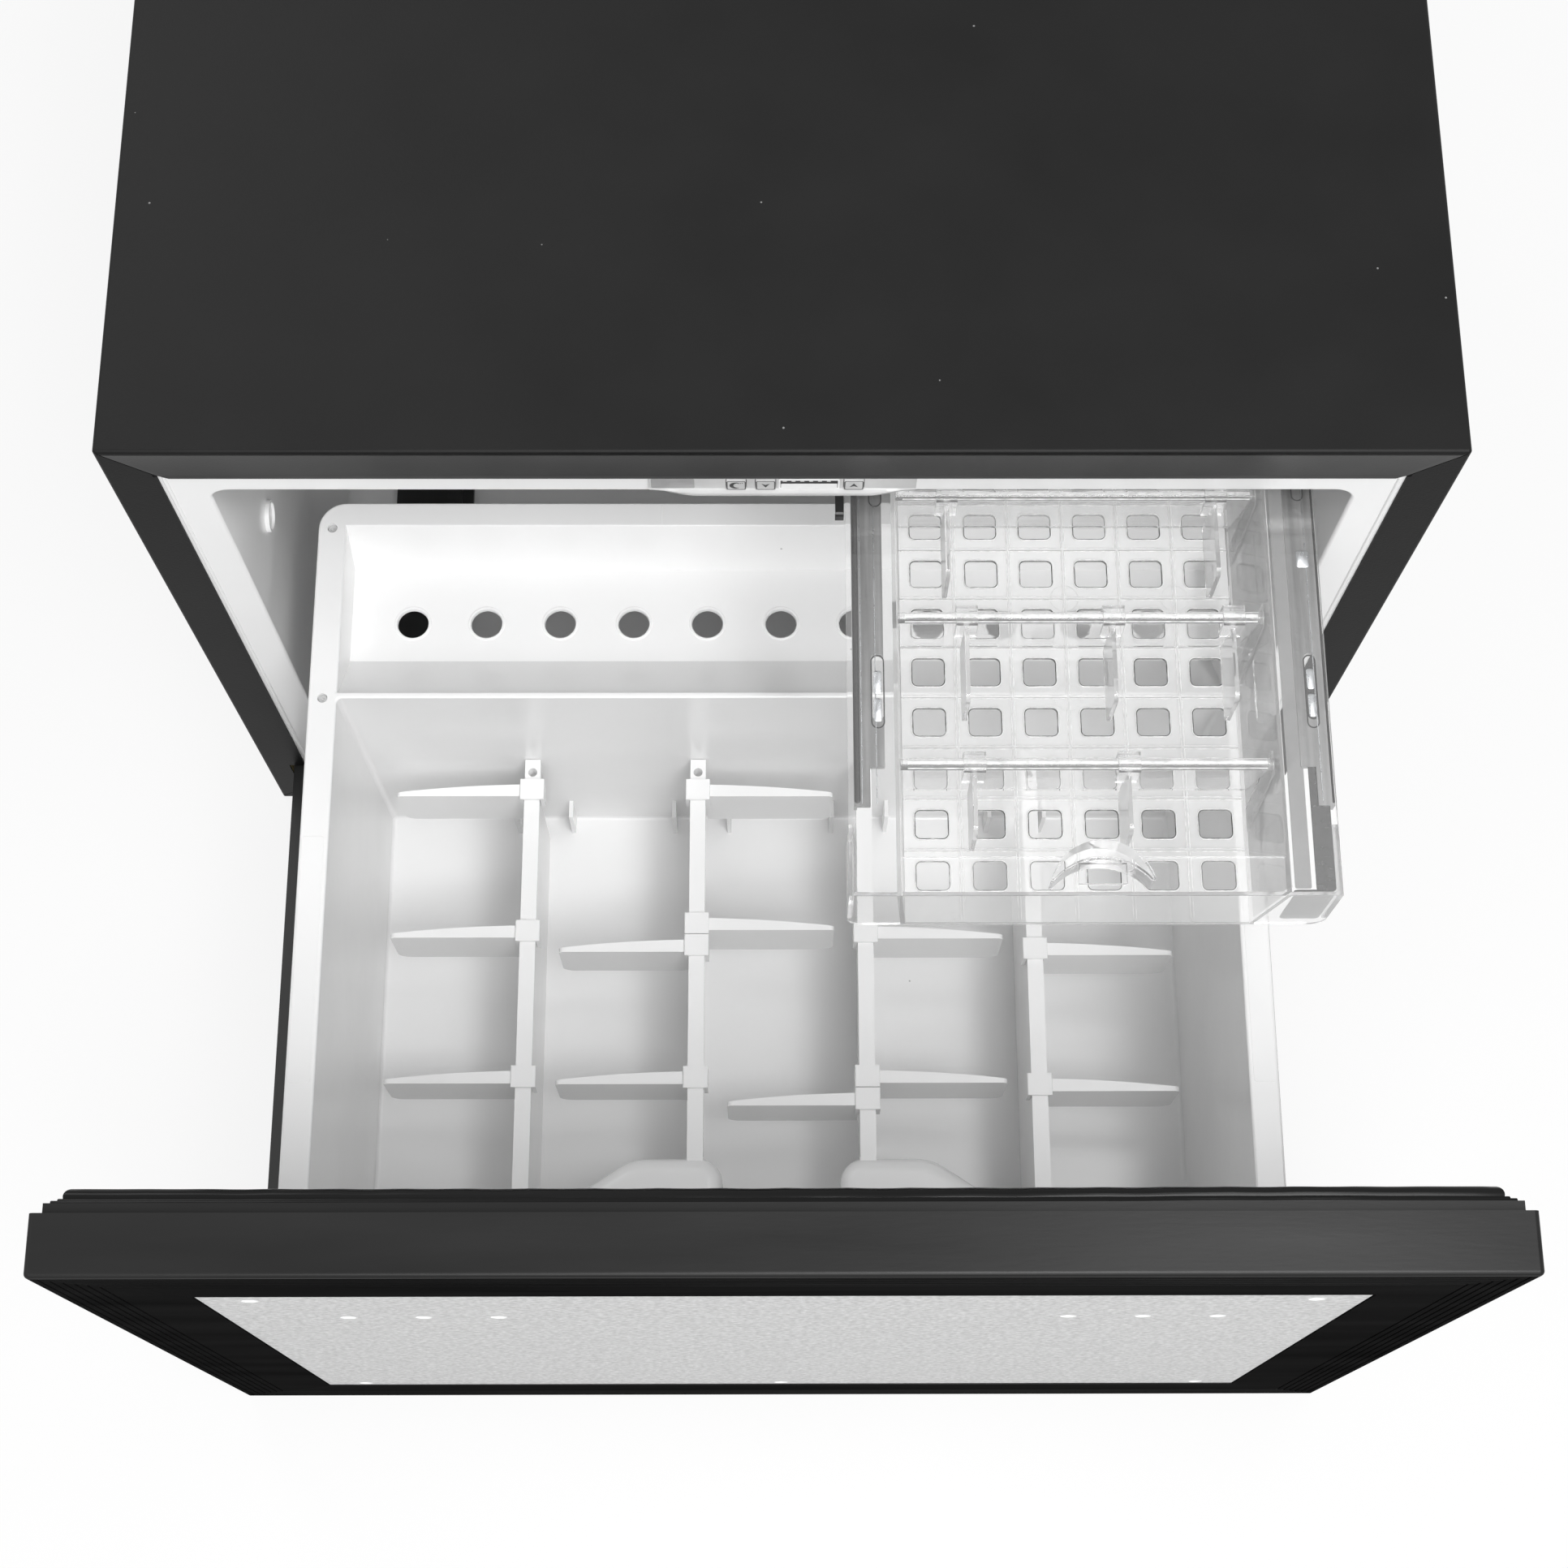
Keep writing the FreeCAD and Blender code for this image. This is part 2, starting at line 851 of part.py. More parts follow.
def make_drawer_screws():
    screws = []
    plate_face = lip_rear + bracket_sheet
    length = bracket_sheet + door_liner_sheet
    for x, z in bracket_screw_places():
        head = rod(Vector(x, plate_face, z), along_y, screw_head_radius, screw_head)
        shank = rod(Vector(x, plate_face - length, z), along_y, screw_radius, length)
        screws.extend(both_sides(head.fuse(shank)))
    return screws


# White drawer: a deep bin in front, a raised shelf behind it and one broad rim round both
def make_drawer_bin():
    rim = Part.Face(
        rounded_outline(-rim_half, rim_half, lip_rear, drawer_rear, rim_top - rim_skirt, rim_corner_radius)
    ).extrude(along_z * rim_skirt)
    square_front = block(
        -rim_half, rim_half, lip_rear, lip_rear + 2 * rim_corner_radius, rim_top - rim_skirt, rim_top
    )
    rim = rim.fuse(square_front)
    under = Part.Face(
        rounded_outline(
            -rim_half + bin_wall,
            rim_half - bin_wall,
            lip_rear - 2 * rim_corner_radius,
            drawer_rear - bin_wall,
            rim_top - rim_skirt - cut_margin,
            rim_corner_radius - bin_wall,
        )
    ).extrude(along_z * (rim_skirt + cut_margin - rim_thickness))
    rim = rim.cut(under)
    outer = bin_half + bin_wall
    box = block(-outer, outer, lip_rear, bin_rear + bin_wall, bin_floor - bin_wall, rim_top)
    box = round_edges(box, bin_corner_radius, along_z)
    shelf_floor = rim_top - shelf_recess
    shelf_back = drawer_rear - shelf_rim
    shelf_start = bin_rear + shelf_ridge
    foot_back = shelf_back - shelf_rear_slope
    foot_front = shelf_start + shelf_front_slope
    shelf = shelf_prism(
        outer,
        [
            (bin_rear, rim_top),
            (bin_rear, rim_top - 2 * rim_skirt),
            (foot_front - bin_wall, shelf_floor - bin_wall),
            (foot_back + bin_wall, shelf_floor - bin_wall),
            (shelf_back + bin_wall, rim_top - rim_thickness),
            (shelf_back + bin_wall, rim_top),
        ],
    )
    hollow = bin_hollow()
    recess = shelf_prism(
        bin_half,
        [
            (shelf_start, rim_top + cut_margin),
            (shelf_start, rim_top - rim_thickness),
            (foot_front, shelf_floor),
            (foot_back, shelf_floor),
            (shelf_back, rim_top),
            (shelf_back, rim_top + cut_margin),
        ],
    )
    holes = []
    hole_count = int(2 * (bin_half - shelf_hole_margin) / shelf_hole_pitch) + 1
    for index in range(hole_count):
        x = (index - (hole_count - 1) / 2) * shelf_hole_pitch
        start = Vector(x, drawer_rear - shelf_hole_inset, shelf_floor - 2 * cut_margin)
        holes.append(rod(start, along_z, shelf_hole_radius, 4 * cut_margin))
    bosses = []
    for y in (drawer_rear - rim_width, bin_rear):
        start = Vector(rim_half - rim_width / 2, y, rim_top - rim_hole_depth)
        holes.extend(both_sides(rod(start, along_z, rim_hole_radius, 2 * rim_hole_depth)))
        start = Vector(rim_half - rim_width / 2, y, rim_top - rim_boss_depth)
        bosses.extend(both_sides(rod(start, along_z, rim_boss_radius, rim_boss_depth - rim_thickness / 2)))
    solid = joined([rim, box, shelf] + bosses)
    solid = cut_all(solid, [hollow, recess])
    solid = solid.makeFillet(rim_edge_radius, rim_edges(solid))
    solid = cut_all(solid, holes)
    return joined([solid] + locating_ribs())


# Edges on the top of the rim, round both mouths and round the outside, apart from the front
def rim_edges(solid):
    edges = []
    for edge in solid.Edges:
        box = edge.BoundBox
        if box.ZMin > rim_top - tolerance and box.YMax > bin_front + tolerance:
            edges.append(edge)
    return edges


def shelf_prism(half, points):
    return prism([(-half, y, z) for y, z in points], along_x * (2 * half))


def bin_hollow():
    slope = bin_draft / bin_depth
    top_half = bin_half + slope * cut_margin
    low_half = bin_half - bin_draft
    radius = bin_corner_radius - bin_wall
    outlines = [
        rounded_outline(-low_half, low_half, bin_front, bin_rear, bin_floor, radius),
        rounded_outline(-top_half, top_half, bin_front, bin_rear, rim_top + cut_margin, radius),
    ]
    hollow = Part.makeLoft(outlines, True, True)
    low_edges = [edge for edge in hollow.Edges if edge.BoundBox.ZMax < bin_floor + tolerance]
    return hollow.makeFillet(bin_floor_radius, low_edges)


def rail_places():
    middle = compartments / 2
    return [(index - middle) * compartment for index in range(1, compartments)]


# Upright ribs on the bin's rear wall that hold the feet of the divider walls
def locating_ribs():
    ribs = []
    for x in rail_places():
        for side in (-1, 1):
            start = x + side * rib_offset - rib_thickness / 2
            ribs.append(
                block(
                    start,
                    start + rib_thickness,
                    bin_rear - rib_depth,
                    bin_rear + bin_wall / 2,
                    bin_floor - bin_wall / 2,
                    bin_floor + rib_height,
                )
            )
    return ribs


# Divider walls: a thin upright web under a square bar that carries the sliding fins
def make_divider_rails():
    rails = []
    for x in rail_places():
        half = rail_width / 2
        bar = block(x - half, x + half, bin_front, rail_rear, rail_z - rail_height, rail_z)
        web = block(
            x - rail_web / 2,
            x + rail_web / 2,
            bin_front + bin_floor_radius,
            bin_rear - rail_web_setback,
            bin_floor,
            rail_z - rail_height,
        )
        rail = joined([bar, web])
        if rest_inner - rail_width < abs(x) < rest_foot + rail_width:
            rail = rail.cut(rest_space())
        start = Vector(x, rail_rear - rail_hole_inset, rail_z - rail_height - cut_margin)
        hole = rod(start, along_z, rail_hole_radius, rail_height + 2 * cut_margin)
        rails.append(rail.cut(hole))
    return rails


# Room for the bottle rests, where the two middle dividers stop short
def rest_space():
    back = bin_front + rest_length + collar_gap
    top = bin_floor + rest_height + collar_gap
    return block(-bin_half, bin_half, bin_front - cut_margin, back, bin_floor - cut_margin, top)


# A tapered blade on a saddle that straddles the bar. side is -1 to the left and 1 to the right
def make_fin(rail, y, side):
    x = rail_places()[rail]
    inner = rail_width / 2 + collar_gap
    outer = inner + collar_wall
    top = rail_z + collar_gap + collar_wall
    y0 = y - collar_length / 2
    saddle = block(x - outer, x + outer, y0, y0 + collar_length, rail_z - collar_drop, top)
    saddle = round_edges(saddle, fin_edge_radius, along_y)
    slot = block(
        x - inner,
        x + inner,
        y0 - cut_margin,
        y0 + collar_length + cut_margin,
        rail_z - collar_drop - cut_margin,
        rail_z + collar_gap,
    )
    saddle = saddle.cut(slot)
    reach = compartment - fin_reach_gap
    face = y0 + (collar_length - fin_root) / 2
    low = rail_z - fin_height
    root_front = Vector(x + side * inner, face, low)
    tip_front = Vector(x + side * reach, face, low)
    tip_back = Vector(x + side * reach, face + fin_tip, low)
    middle_back = Vector(x + side * (reach + inner) / 2, face + fin_middle, low)
    root_back = Vector(x + side * inner, face + fin_root, low)
    outline = Part.Wire(
        [
            Part.makeLine(root_front, tip_front),
            Part.makeLine(tip_front, tip_back),
            Part.Arc(tip_back, middle_back, root_back).toShape(),
            Part.makeLine(root_back, root_front),
        ]
    )
    wedge = Part.Face(outline).extrude(along_z * fin_height)
    for level, radius in ((low, fin_low_radius), (rail_z, fin_high_radius)):
        tip = lambda point: abs(point.x - x) > reach - tolerance and abs(point.z - level) < tolerance
        wedge = round_edges(wedge, radius, along_y, tip)
    passage = block(
        x - inner, x + inner, y0 - cut_margin, y0 + collar_length + cut_margin, 0, rail_z + collar_gap
    )
    return joined([saddle, wedge]).cut(passage)


# Smooth bottle rests at the front of the bin, one each side of the middle
def make_bottle_rests():
    back = bin_front + rest_length
    shoulder = bin_front + rest_shoulder_length
    plan = prism(
        [
            (rest_inner, bin_front, bin_floor),
            (rest_foot, bin_front, bin_floor),
            (rest_shoulder, shoulder, bin_floor),
            (rest_outer, back, bin_floor),
            (rest_inner, back, bin_floor),
        ],
        along_z * rest_height,
    )
    slope = prism(
        [
            (0, bin_front, bin_floor),
            (0, bin_front + bin_floor_radius, bin_floor),
            (0, bin_front, bin_floor + bin_floor_radius),
        ],
        along_x * bin_half,
    )
    plan = plan.cut(slope)
    inner = lambda point: point.y > shoulder + tolerance and point.x < rest_inner + tolerance
    plan = round_edges(plan, rest_inner_radius, along_z, inner)
    outer = lambda point: point.y > shoulder + tolerance and point.x > rest_outer - tolerance
    plan = round_edges(plan, rest_outer_radius, along_z, outer)
    middle = lambda point: point.x > rest_shoulder - tolerance and point.y > shoulder - tolerance
    plan = round_edges(plan, rest_inner_radius, along_z, middle)
    top_edges = []
    for edge in plan.Edges:
        box = edge.BoundBox
        if box.ZMin > bin_floor + rest_height - tolerance and box.YMax > bin_front + tolerance:
            top_edges.append(edge)
    return both_sides(plan.makeFillet(rest_top_radius, top_edges))


def ring(outer_half, outer_bottom, outer_top, border, y0, y1):
    solid = block(-outer_half, outer_half, y0, y1, outer_bottom, outer_top)
    inner = block(
        -outer_half + border,
        outer_half - border,
        y0 - cut_margin,
        y1 + cut_margin,
        outer_bottom + border,
        outer_top - border,
    )
    return solid.cut(inner)


def inset_ring(inset, border, y0, y1):
    return ring(door_half - inset, door_bottom + inset, door_top - inset, border, y0, y1)


# Door frame: four mitred hollow profiles, grooved along their outer half
def make_door_frame():
    shell = block(-door_half, door_half, door_front, door_rear, door_bottom, door_top)
    front_edges = lambda point: point.y < door_front + tolerance
    shell = round_edges(shell, door_edge_radius, along_x, front_edges)
    shell = round_edges(shell, door_edge_radius, along_z, front_edges)
    shell = shell.cut(door_pocket())
    window = block(
        -window_half,
        window_half,
        door_front - cut_margin,
        door_front + cut_margin + door_skin,
        window_bottom,
        window_top,
    )
    shell = shell.cut(window)
    back = block(
        -door_half + rear_return,
        door_half - rear_return,
        door_rear - door_skin - cut_margin,
        door_rear + cut_margin,
        door_bottom + rear_return,
        door_top - rear_return,
    )
    shell = shell.cut(back)
    lip = inset_ring(lip_inset, rear_return - lip_inset, door_rear, lip_rear)
    shell = joined([shell, lip])
    for index in range(groove_count):
        inset = groove_margin + index * groove_pitch
        groove = inset_ring(inset, groove_width, door_front - cut_margin, door_front + groove_depth)
        shell = shell.cut(groove)
    return [shell.common(wedge) for wedge in mitre_wedges()]


def door_pocket():
    return block(
        -door_half + door_skin,
        door_half - door_skin,
        door_front + door_skin,
        door_rear - door_skin,
        door_bottom + door_skin,
        door_top - door_skin,
    )


def mitre_wedges():
    middle = (door_top + door_bottom) / 2
    half_tall = (door_top - door_bottom) / 2
    reach = door_half - half_tall
    start = door_front - cut_margin
    run = along_y * (lip_rear - door_front + 2 * cut_margin)
    left_top = (-door_half, start, door_top)
    right_top = (door_half, start, door_top)
    left_low = (-door_half, start, door_bottom)
    right_low = (door_half, start, door_bottom)
    left_mid = (-reach, start, middle)
    right_mid = (reach, start, middle)
    outlines = [
        [left_top, right_top, right_mid, left_mid],
        [left_low, right_low, right_mid, left_mid],
        [left_top, left_low, left_mid],
        [right_top, right_low, right_mid],
    ]
    return [prism(points, run) for points in outlines]


def door_liner_half():
    return door_half - rear_return - door_liner_gap


def make_door_liner():
    half = door_liner_half()
    low = door_bottom + rear_return + door_liner_gap
    high = door_top - rear_return - door_liner_gap
    sheet = block(-half, half, lip_rear - door_liner_sheet, lip_rear, low, high)
    holes = []
    for hole in bracket_screw_holes():
        holes.extend(both_sides(hole))
    return cut_all(sheet, holes)


def make_door_foam():
    half = door_liner_half()
    low = door_bottom + rear_return + door_liner_gap
    high = door_top - rear_return - door_liner_gap
    behind = block(-half, half, door_rear - door_skin - cut_margin, lip_rear - door_liner_sheet, low, high)
    ahead = block(
        -window_half + panel_gap,
        window_half - panel_gap,
        panel_back,
        door_front + door_skin + cut_margin,
        window_bottom + panel_gap,
        window_top - panel_gap,
    )
    foam = joined([door_pocket(), behind, ahead])
    return cut_all(foam, [anchor(x, z, 0) for x, z in panel_hole_places()])


def panel_hole_places():
    top = window_top - panel_hole_top_margin
    low = window_bottom + panel_hole_bottom_margin
    row = window_top - panel_row_drop
    places = [(0.0, low)]
    for side in (-1, 1):
        corner = window_half - panel_hole_side_margin
        places.append((side * corner, top))
        places.append((side * corner, low))
        for step in (-1, 0, 1):
            x = window_half - panel_row_side_margin + step * panel_row_pitch
            places.append((side * x, row))
    return places


def make_front_panel():
    panel = block(
        -window_half + panel_gap,
        window_half - panel_gap,
        panel_front,
        panel_back,
        window_bottom + panel_gap,
        window_top - panel_gap,
    )
    holes = []
    for x, z in panel_hole_places():
        start = Vector(x, panel_front - cut_margin, z)
        holes.append(rod(start, along_y, panel_hole_radius, 2 * cut_margin))
    return cut_all(panel, holes)


# White plastic socket behind a panel hole, closed at its far end
def anchor(x, z, bore):
    outer = panel_hole_radius + anchor_bore_gap + anchor_wall
    body = rod(Vector(x, panel_back, z), along_y, outer, anchor_length)
    if bore:
        body = body.cut(rod(Vector(x, panel_back, z), along_y, bore, anchor_length - anchor_wall))
    return body


def make_panel_anchors():
    bore = panel_hole_radius + anchor_bore_gap
    return [anchor(x, z, bore) for x, z in panel_hole_places()]


def make_door_gasket():
    base = inset_ring(gasket_inset, gasket_width, lip_rear, lip_rear + gasket_base)
    bulb = inset_ring(
        gasket_inset + gasket_bulb_inset,
        gasket_width - gasket_bulb_inset,
        lip_rear + gasket_base,
        gasket_rear,
    )
    return joined([base, bulb])


# Inner faces of the tray's side walls, which lean in towards the floor
def tray_left_at(z):
    return basin_left + tray_left_lean * (tray_top - z) / tray_depth


def tray_right_at(z):
    return basin_right - tray_right_lean * (tray_top - z) / tray_depth


def tray_space(margin, y0, y1, z0, z1):
    return prism(
        [
            (tray_left_at(z0) - margin, y0, z0),
            (tray_right_at(z0) + margin, y0, z0),
            (tray_right_at(z1) + margin, y0, z1),
            (tray_left_at(z1) - margin, y0, z1),
        ],
        along_y * (y1 - y0),
    )


# Clear tray: a basin with a flange on all sides and a finger pull at the front
def make_tray_basin():
    rim = block(tray_left, tray_right, tray_front, tray_rear, slide_top, tray_top)
    outer = tray_space(tray_wall, tray_front, tray_rear, tray_bottom, tray_top)
    front_wall = block(tray_left, tray_right, tray_front, tray_front + tray_wall, tray_bottom, tray_top)
    low = lambda point: point.z < tray_bottom + tolerance
    front_wall = round_edges(front_wall, tray_corner_radius, along_y, low)
    cheeks = []
    for x in (tray_left, tray_right - tray_wall):
        cheek = block(
            x,
            x + tray_wall,
            tray_front,
            tray_front + tray_cheek,
            tray_bottom + tray_corner_radius,
            tray_top,
        )
        cheeks.append(cheek)
    solid = joined([rim, outer, front_wall] + cheeks)
    floor_front, floor_rear = tray_floor_ends()
    inside = tray_space(0, floor_front, floor_rear, tray_bottom - cut_margin, slide_top)
    mouth = tray_space(0, basin_front, floor_rear, tray_bottom, tray_top + cut_margin)
    solid = cut_all(solid, [inside, mouth, pull_slot()])
    return joined([solid, finger_pull()])


def tray_floor_ends():
    return tray_front + tray_wall, tray_rear - tray_wall


# Crescent that stands over the front flange
def finger_pull():
    low = tray_top - pull_height
    tall = pull_height + tray_flange
    disc = rod(Vector(pull_x, pull_y, low), along_z, pull_radius, tall)
    hollow_y = pull_y - pull_hollow_shift
    hollow = rod(Vector(pull_x, hollow_y, low), along_z, pull_hollow_radius, tall)
    end = tray_front + pull_end_inset
    ahead = block(pull_x - pull_radius, pull_x + pull_radius, end - 2 * pull_radius, end, low, low + tall)
    return disc.cut(hollow).cut(ahead)


# Slot in the flange for the finger, ahead of the crescent
def pull_slot():
    half = pull_slot_width / 2
    reach = math.sqrt(pull_hollow_radius ** 2 - half ** 2)
    back = pull_y - pull_hollow_shift + reach
    y0 = tray_front + tray_wall + pull_lip
    return block(pull_x - half, pull_x + half, y0, back, slide_top - cut_margin, tray_top + cut_margin)


# Floor grid of the tray with rounded square windows and thin ribs between them
def make_tray_floor():
    x0 = tray_left_at(tray_bottom)
    x1 = tray_right_at(tray_bottom)
    y0, y1 = tray_floor_ends()
    top = tray_bottom + floor_plate
    plate = block(x0, x1, y0, y1, tray_bottom, top)
    columns = int((x1 - x0 - 2 * window_margin) / window_column_pitch) + 1
    rows = int((y1 - y0 - 2 * window_margin) / window_row_pitch) + 1
    first_x = (x0 + x1 - (columns - 1) * window_column_pitch) / 2
    half_x = window_width / 2
    half_y = window_length / 2
    half_rib = floor_rib_width / 2
    rib_top = top + floor_rib_height
    cuts = []
    ribs = []
    for column in range(columns):
        x = first_x + column * window_column_pitch
        for row in range(rows):
            y = y0 + window_front_margin + row * window_row_pitch
            outline = rounded_outline(
                x - half_x, x + half_x, y - half_y, y + half_y, tray_bottom - cut_margin, window_radius
            )
            cuts.append(Part.Face(outline).extrude(along_z * (2 * cut_margin + floor_plate)))
        if column > 0:
            rib_x = x - window_column_pitch / 2
            ribs.append(block(rib_x - half_rib, rib_x + half_rib, y0, y1, top, rib_top))
    for row in range(1, rows):
        rib_y = y0 + window_front_margin + (row - 0.5) * window_row_pitch
        ribs.append(block(x0, x1, rib_y - half_rib, rib_y + half_rib, top, rib_top))
    plate = plate.cut(Part.makeCompound(cuts))
    return joined([plate] + ribs)


def rod_places():
    return [tray_front + rod_first, tray_front + rod_second, tray_front + rod_third]


def make_tray_rods():
    rods = []
    low = rod_z - rod_panel_height
    for y in rod_places():
        x0 = tray_left_at(rod_z - rod_radius)
        x1 = tray_right_at(rod_z - rod_radius)
        bar = rod(Vector(x0, y, rod_z), along_x, rod_radius, x1 - x0)
        panel = tray_space(0, y - rod_panel / 2, y + rod_panel / 2, low, rod_z)
        rods.append(joined([bar, panel, end_plate_at(y)]))
    return rods


# Slanted plate that carries the right end of a rod on the tray's wall
def end_plate_at(y):
    low = rod_z - rod_panel_height
    return prism(
        [
            (tray_right_at(rod_z), y + end_plate_behind, rod_z),
            (tray_right_at(rod_z), y - end_plate_ahead, rod_z),
            (tray_right_at(low), y - end_plate_ahead - end_plate_slant, low),
            (tray_right_at(low), y + end_plate_behind - end_plate_slant, low),
        ],
        along_x * -end_plate,
    )


# Clear clip that straddles a rod, with a blade towards the front
def make_clip(index, x):
    y = rod_places()[index]
    reach = front_clip_blade if index == 0 else clip_blade
    inner = rod_radius + clip_gap
    outer = inner + clip_wall
    x0 = x - clip_width / 2
    top = rod_z + outer
    saddle = block(x0, x0 + clip_width, y - outer, y + outer, rod_z - clip_drop, top)
    saddle = round_edges(saddle, clip_wall, along_x, lambda point: point.z > top - tolerance)
    slot = block(
        x0 - cut_margin, x0 + clip_width + cut_margin, y - inner, y + inner, 0, rod_z + inner
    )
    half = clip_blade_thickness / 2
    blade = block(x - half, x + half, y - reach, y - inner, rod_z - clip_blade_height, rod_z)
    tip = lambda point: point.y < y - reach + tolerance
    blade = round_edges(blade, tray_corner_radius / 2, along_x, tip)
    return joined([saddle.cut(slot), blade])


def slide_edges():
    left = tray_left + slide_left_inset
    right = tray_right - slide_right_inset
    return left, right


# Flat zinc slides under the tray flanges: strip, middle strip and hung cabinet channel
def make_tray_runner_members():
    members = []
    left, right = slide_edges()
    y0 = tray_front + slide_front_inset
    y1 = tray_rear - slide_rear_gap
    low = slide_top - slide_sheet
    for edge, side, slot_inset in ((left, 1, slide_left_slot), (right, -1, slide_right_slot)):
        far = edge + side * slide_width
        strip = block(min(edge, far), max(edge, far), y0, y1, low, slide_top)
        lip_far = edge + side * slide_lip_sheet
        lip = block(min(edge, lip_far), max(edge, lip_far), y0, y1, slide_top - slide_lip, slide_top)
        member = joined([strip, lip])
        centre = edge + side * slot_inset
        slot = block(
            centre - slide_slot_width / 2,
            centre + slide_slot_width / 2,
            y0 + slide_slot_inset,
            y0 + slide_slot_inset + slide_slot_length,
            low - cut_margin,
            slide_top + cut_margin,
        )
        slot = round_edges(slot, slide_slot_end_radius, along_z)
        near = far - side * slide_step_width
        step = block(
            min(near, far),
            max(near, far),
            y0,
            y0 + slide_step_length,
            low - cut_margin,
            slide_top + cut_margin,
        )
        members.append(cut_all(member, [slot, step]))
    return members


def slide_middle_top():
    return slide_top - slide_sheet - slide_gap


def make_tray_runner_middle_members():
    members = []
    left, right = slide_edges()
    y0 = hanger_front() - tray_open / 2
    y1 = cavity_rear - hanger_rear_gap - slide_middle_gap - tray_open / 2
    top = slide_middle_top()
    for edge, side in ((left, 1), (right, -1)):
        start = edge + side * (slide_lip_sheet + slide_gap)
        far = edge + side * (slide_width - slide_gap)
        members.append(
            block(min(start, far), max(start, far), y0, y1, top - slide_sheet, top)
        )
    return members


# The hung channels start behind the place of the tray's front cheeks when it is shut
def hanger_front():
    return front + tray_shut_inset + tray_cheek + hanger_cheek_gap


def make_tray_runner_cabinet_members():
    members = []
    y0 = hanger_front()
    y1 = cavity_rear - hanger_rear_gap
    left, right = slide_edges()
    web_top = slide_middle_top() - slide_sheet - slide_gap
    for edge, flange_edge, side in ((left, tray_left, 1), (right, tray_right, -1)):
        wall = flange_edge - side * hanger_gap
        wall_far = wall - side * hanger_sheet
        hanger = block(
            min(wall, wall_far), max(wall, wall_far), y0, y1, web_top - hanger_sheet, ceiling
        )
        web_far = edge + side * slide_width
        web = block(
            min(wall_far, web_far), max(wall_far, web_far), y0, y1, web_top - hanger_sheet, web_top
        )
        foot_far = wall_far + side * slide_width
        foot = block(
            min(wall_far, foot_far), max(wall_far, foot_far), y0, y1, ceiling - hanger_sheet, ceiling
        )
        members.append(joined([hanger, web, foot]))
    return members


# Middle of the keys and the display, above the middle of the module
def key_z():
    return module_top - module_height / 2 + key_rise


def key_space(x, margin, y0, y1):
    half = key_size / 2 + margin
    return block(x - half, x + half, y0, y1, key_z() - half, key_z() + half)


def key_front():
    return front - module_front - key_proud


def make_control_housing():
    z1 = module_top
    z0 = z1 - module_height
    plate = block(-module_half_width, module_half_width, front - module_front, front + steel_sheet, z0, z1)
    plate = round_edges(plate, module_front / 2, along_y)
    housing = joined([plate, module_body_space().common(module_reach())])
    cuts = [screen_space()]
    for x in (night_key_x, down_key_x, up_key_x):
        cuts.append(key_space(x, key_gap, front - cut_margin, key_front() + key_length + key_pocket))
    return cut_all(housing, cuts)


def module_reach():
    return block(-half_width, half_width, front, front + depth, 0, height)


def screen_space():
    face = front - module_front
    low = key_z() - screen_height / 2
    return block(screen_start, screen_end, face, face + screen_depth, low, low + screen_height)


def make_key(x):
    key = key_space(x, 0, key_front(), key_front() + key_length)
    return round_edges(key, key_proud / 2, along_y)


# Cooling stack through the rear wall
def make_cooling_plate():
    return block(
        -plate_half_width,
        plate_half_width,
        cavity_rear - plate_thickness,
        cavity_rear,
        cooler_height - plate_height / 2,
        cooler_height + plate_height / 2,
    )


def square_on_stack(size, y0, y1):
    half = size / 2
    return block(-half, half, y0, y1, cooler_height - half, cooler_height + half)


def peltier_front():
    return foam_rear - peltier_thickness


def make_heat_sink():
    low = cooler_height - sink_height / 2
    high = cooler_height + sink_height / 2
    back = foam_rear + sink_base
    shapes = [block(-sink_half_width, sink_half_width, foam_rear, back, low, high)]
    step = (2 * sink_half_width - sink_fin_thickness) / (sink_fin_count - 1)
    for index in range(sink_fin_count):
        x = -sink_half_width + index * step
        shapes.append(block(x, x + sink_fin_thickness, back, back + sink_fin_length, low, high))
    return joined(shapes)


def fan_front():
    return foam_rear + sink_base + sink_fin_length


def make_fan_housing():
    y0 = fan_front()
    y1 = y0 + fan_depth
    frame = square_on_stack(fan_size, y0, y1)
    frame = round_edges(frame, fan_spoke, along_y)
    centre = Vector(0, y0 - cut_margin, cooler_height)
    frame = frame.cut(rod(centre, along_y, fan_bore_radius, fan_depth + 2 * cut_margin))
    back = y1 - fan_back
    half = fan_spoke / 2
    reach = fan_bore_radius + half
    across = block(-reach, reach, back, y1, -half, half)
    upright = block(-half, half, back, y1, -reach, reach)
    lift = Vector(0, 0, cooler_height)
    across.translate(lift)
    upright.translate(lift)
    hub = rod(Vector(0, back, cooler_height), along_y, fan_hub_radius, fan_back)
    pin_start = y0 + fan_end_gap
    pin = rod(Vector(0, pin_start, cooler_height), along_y, fan_pin_radius, y1 - pin_start)
    return joined([frame, across, upright, hub, pin])


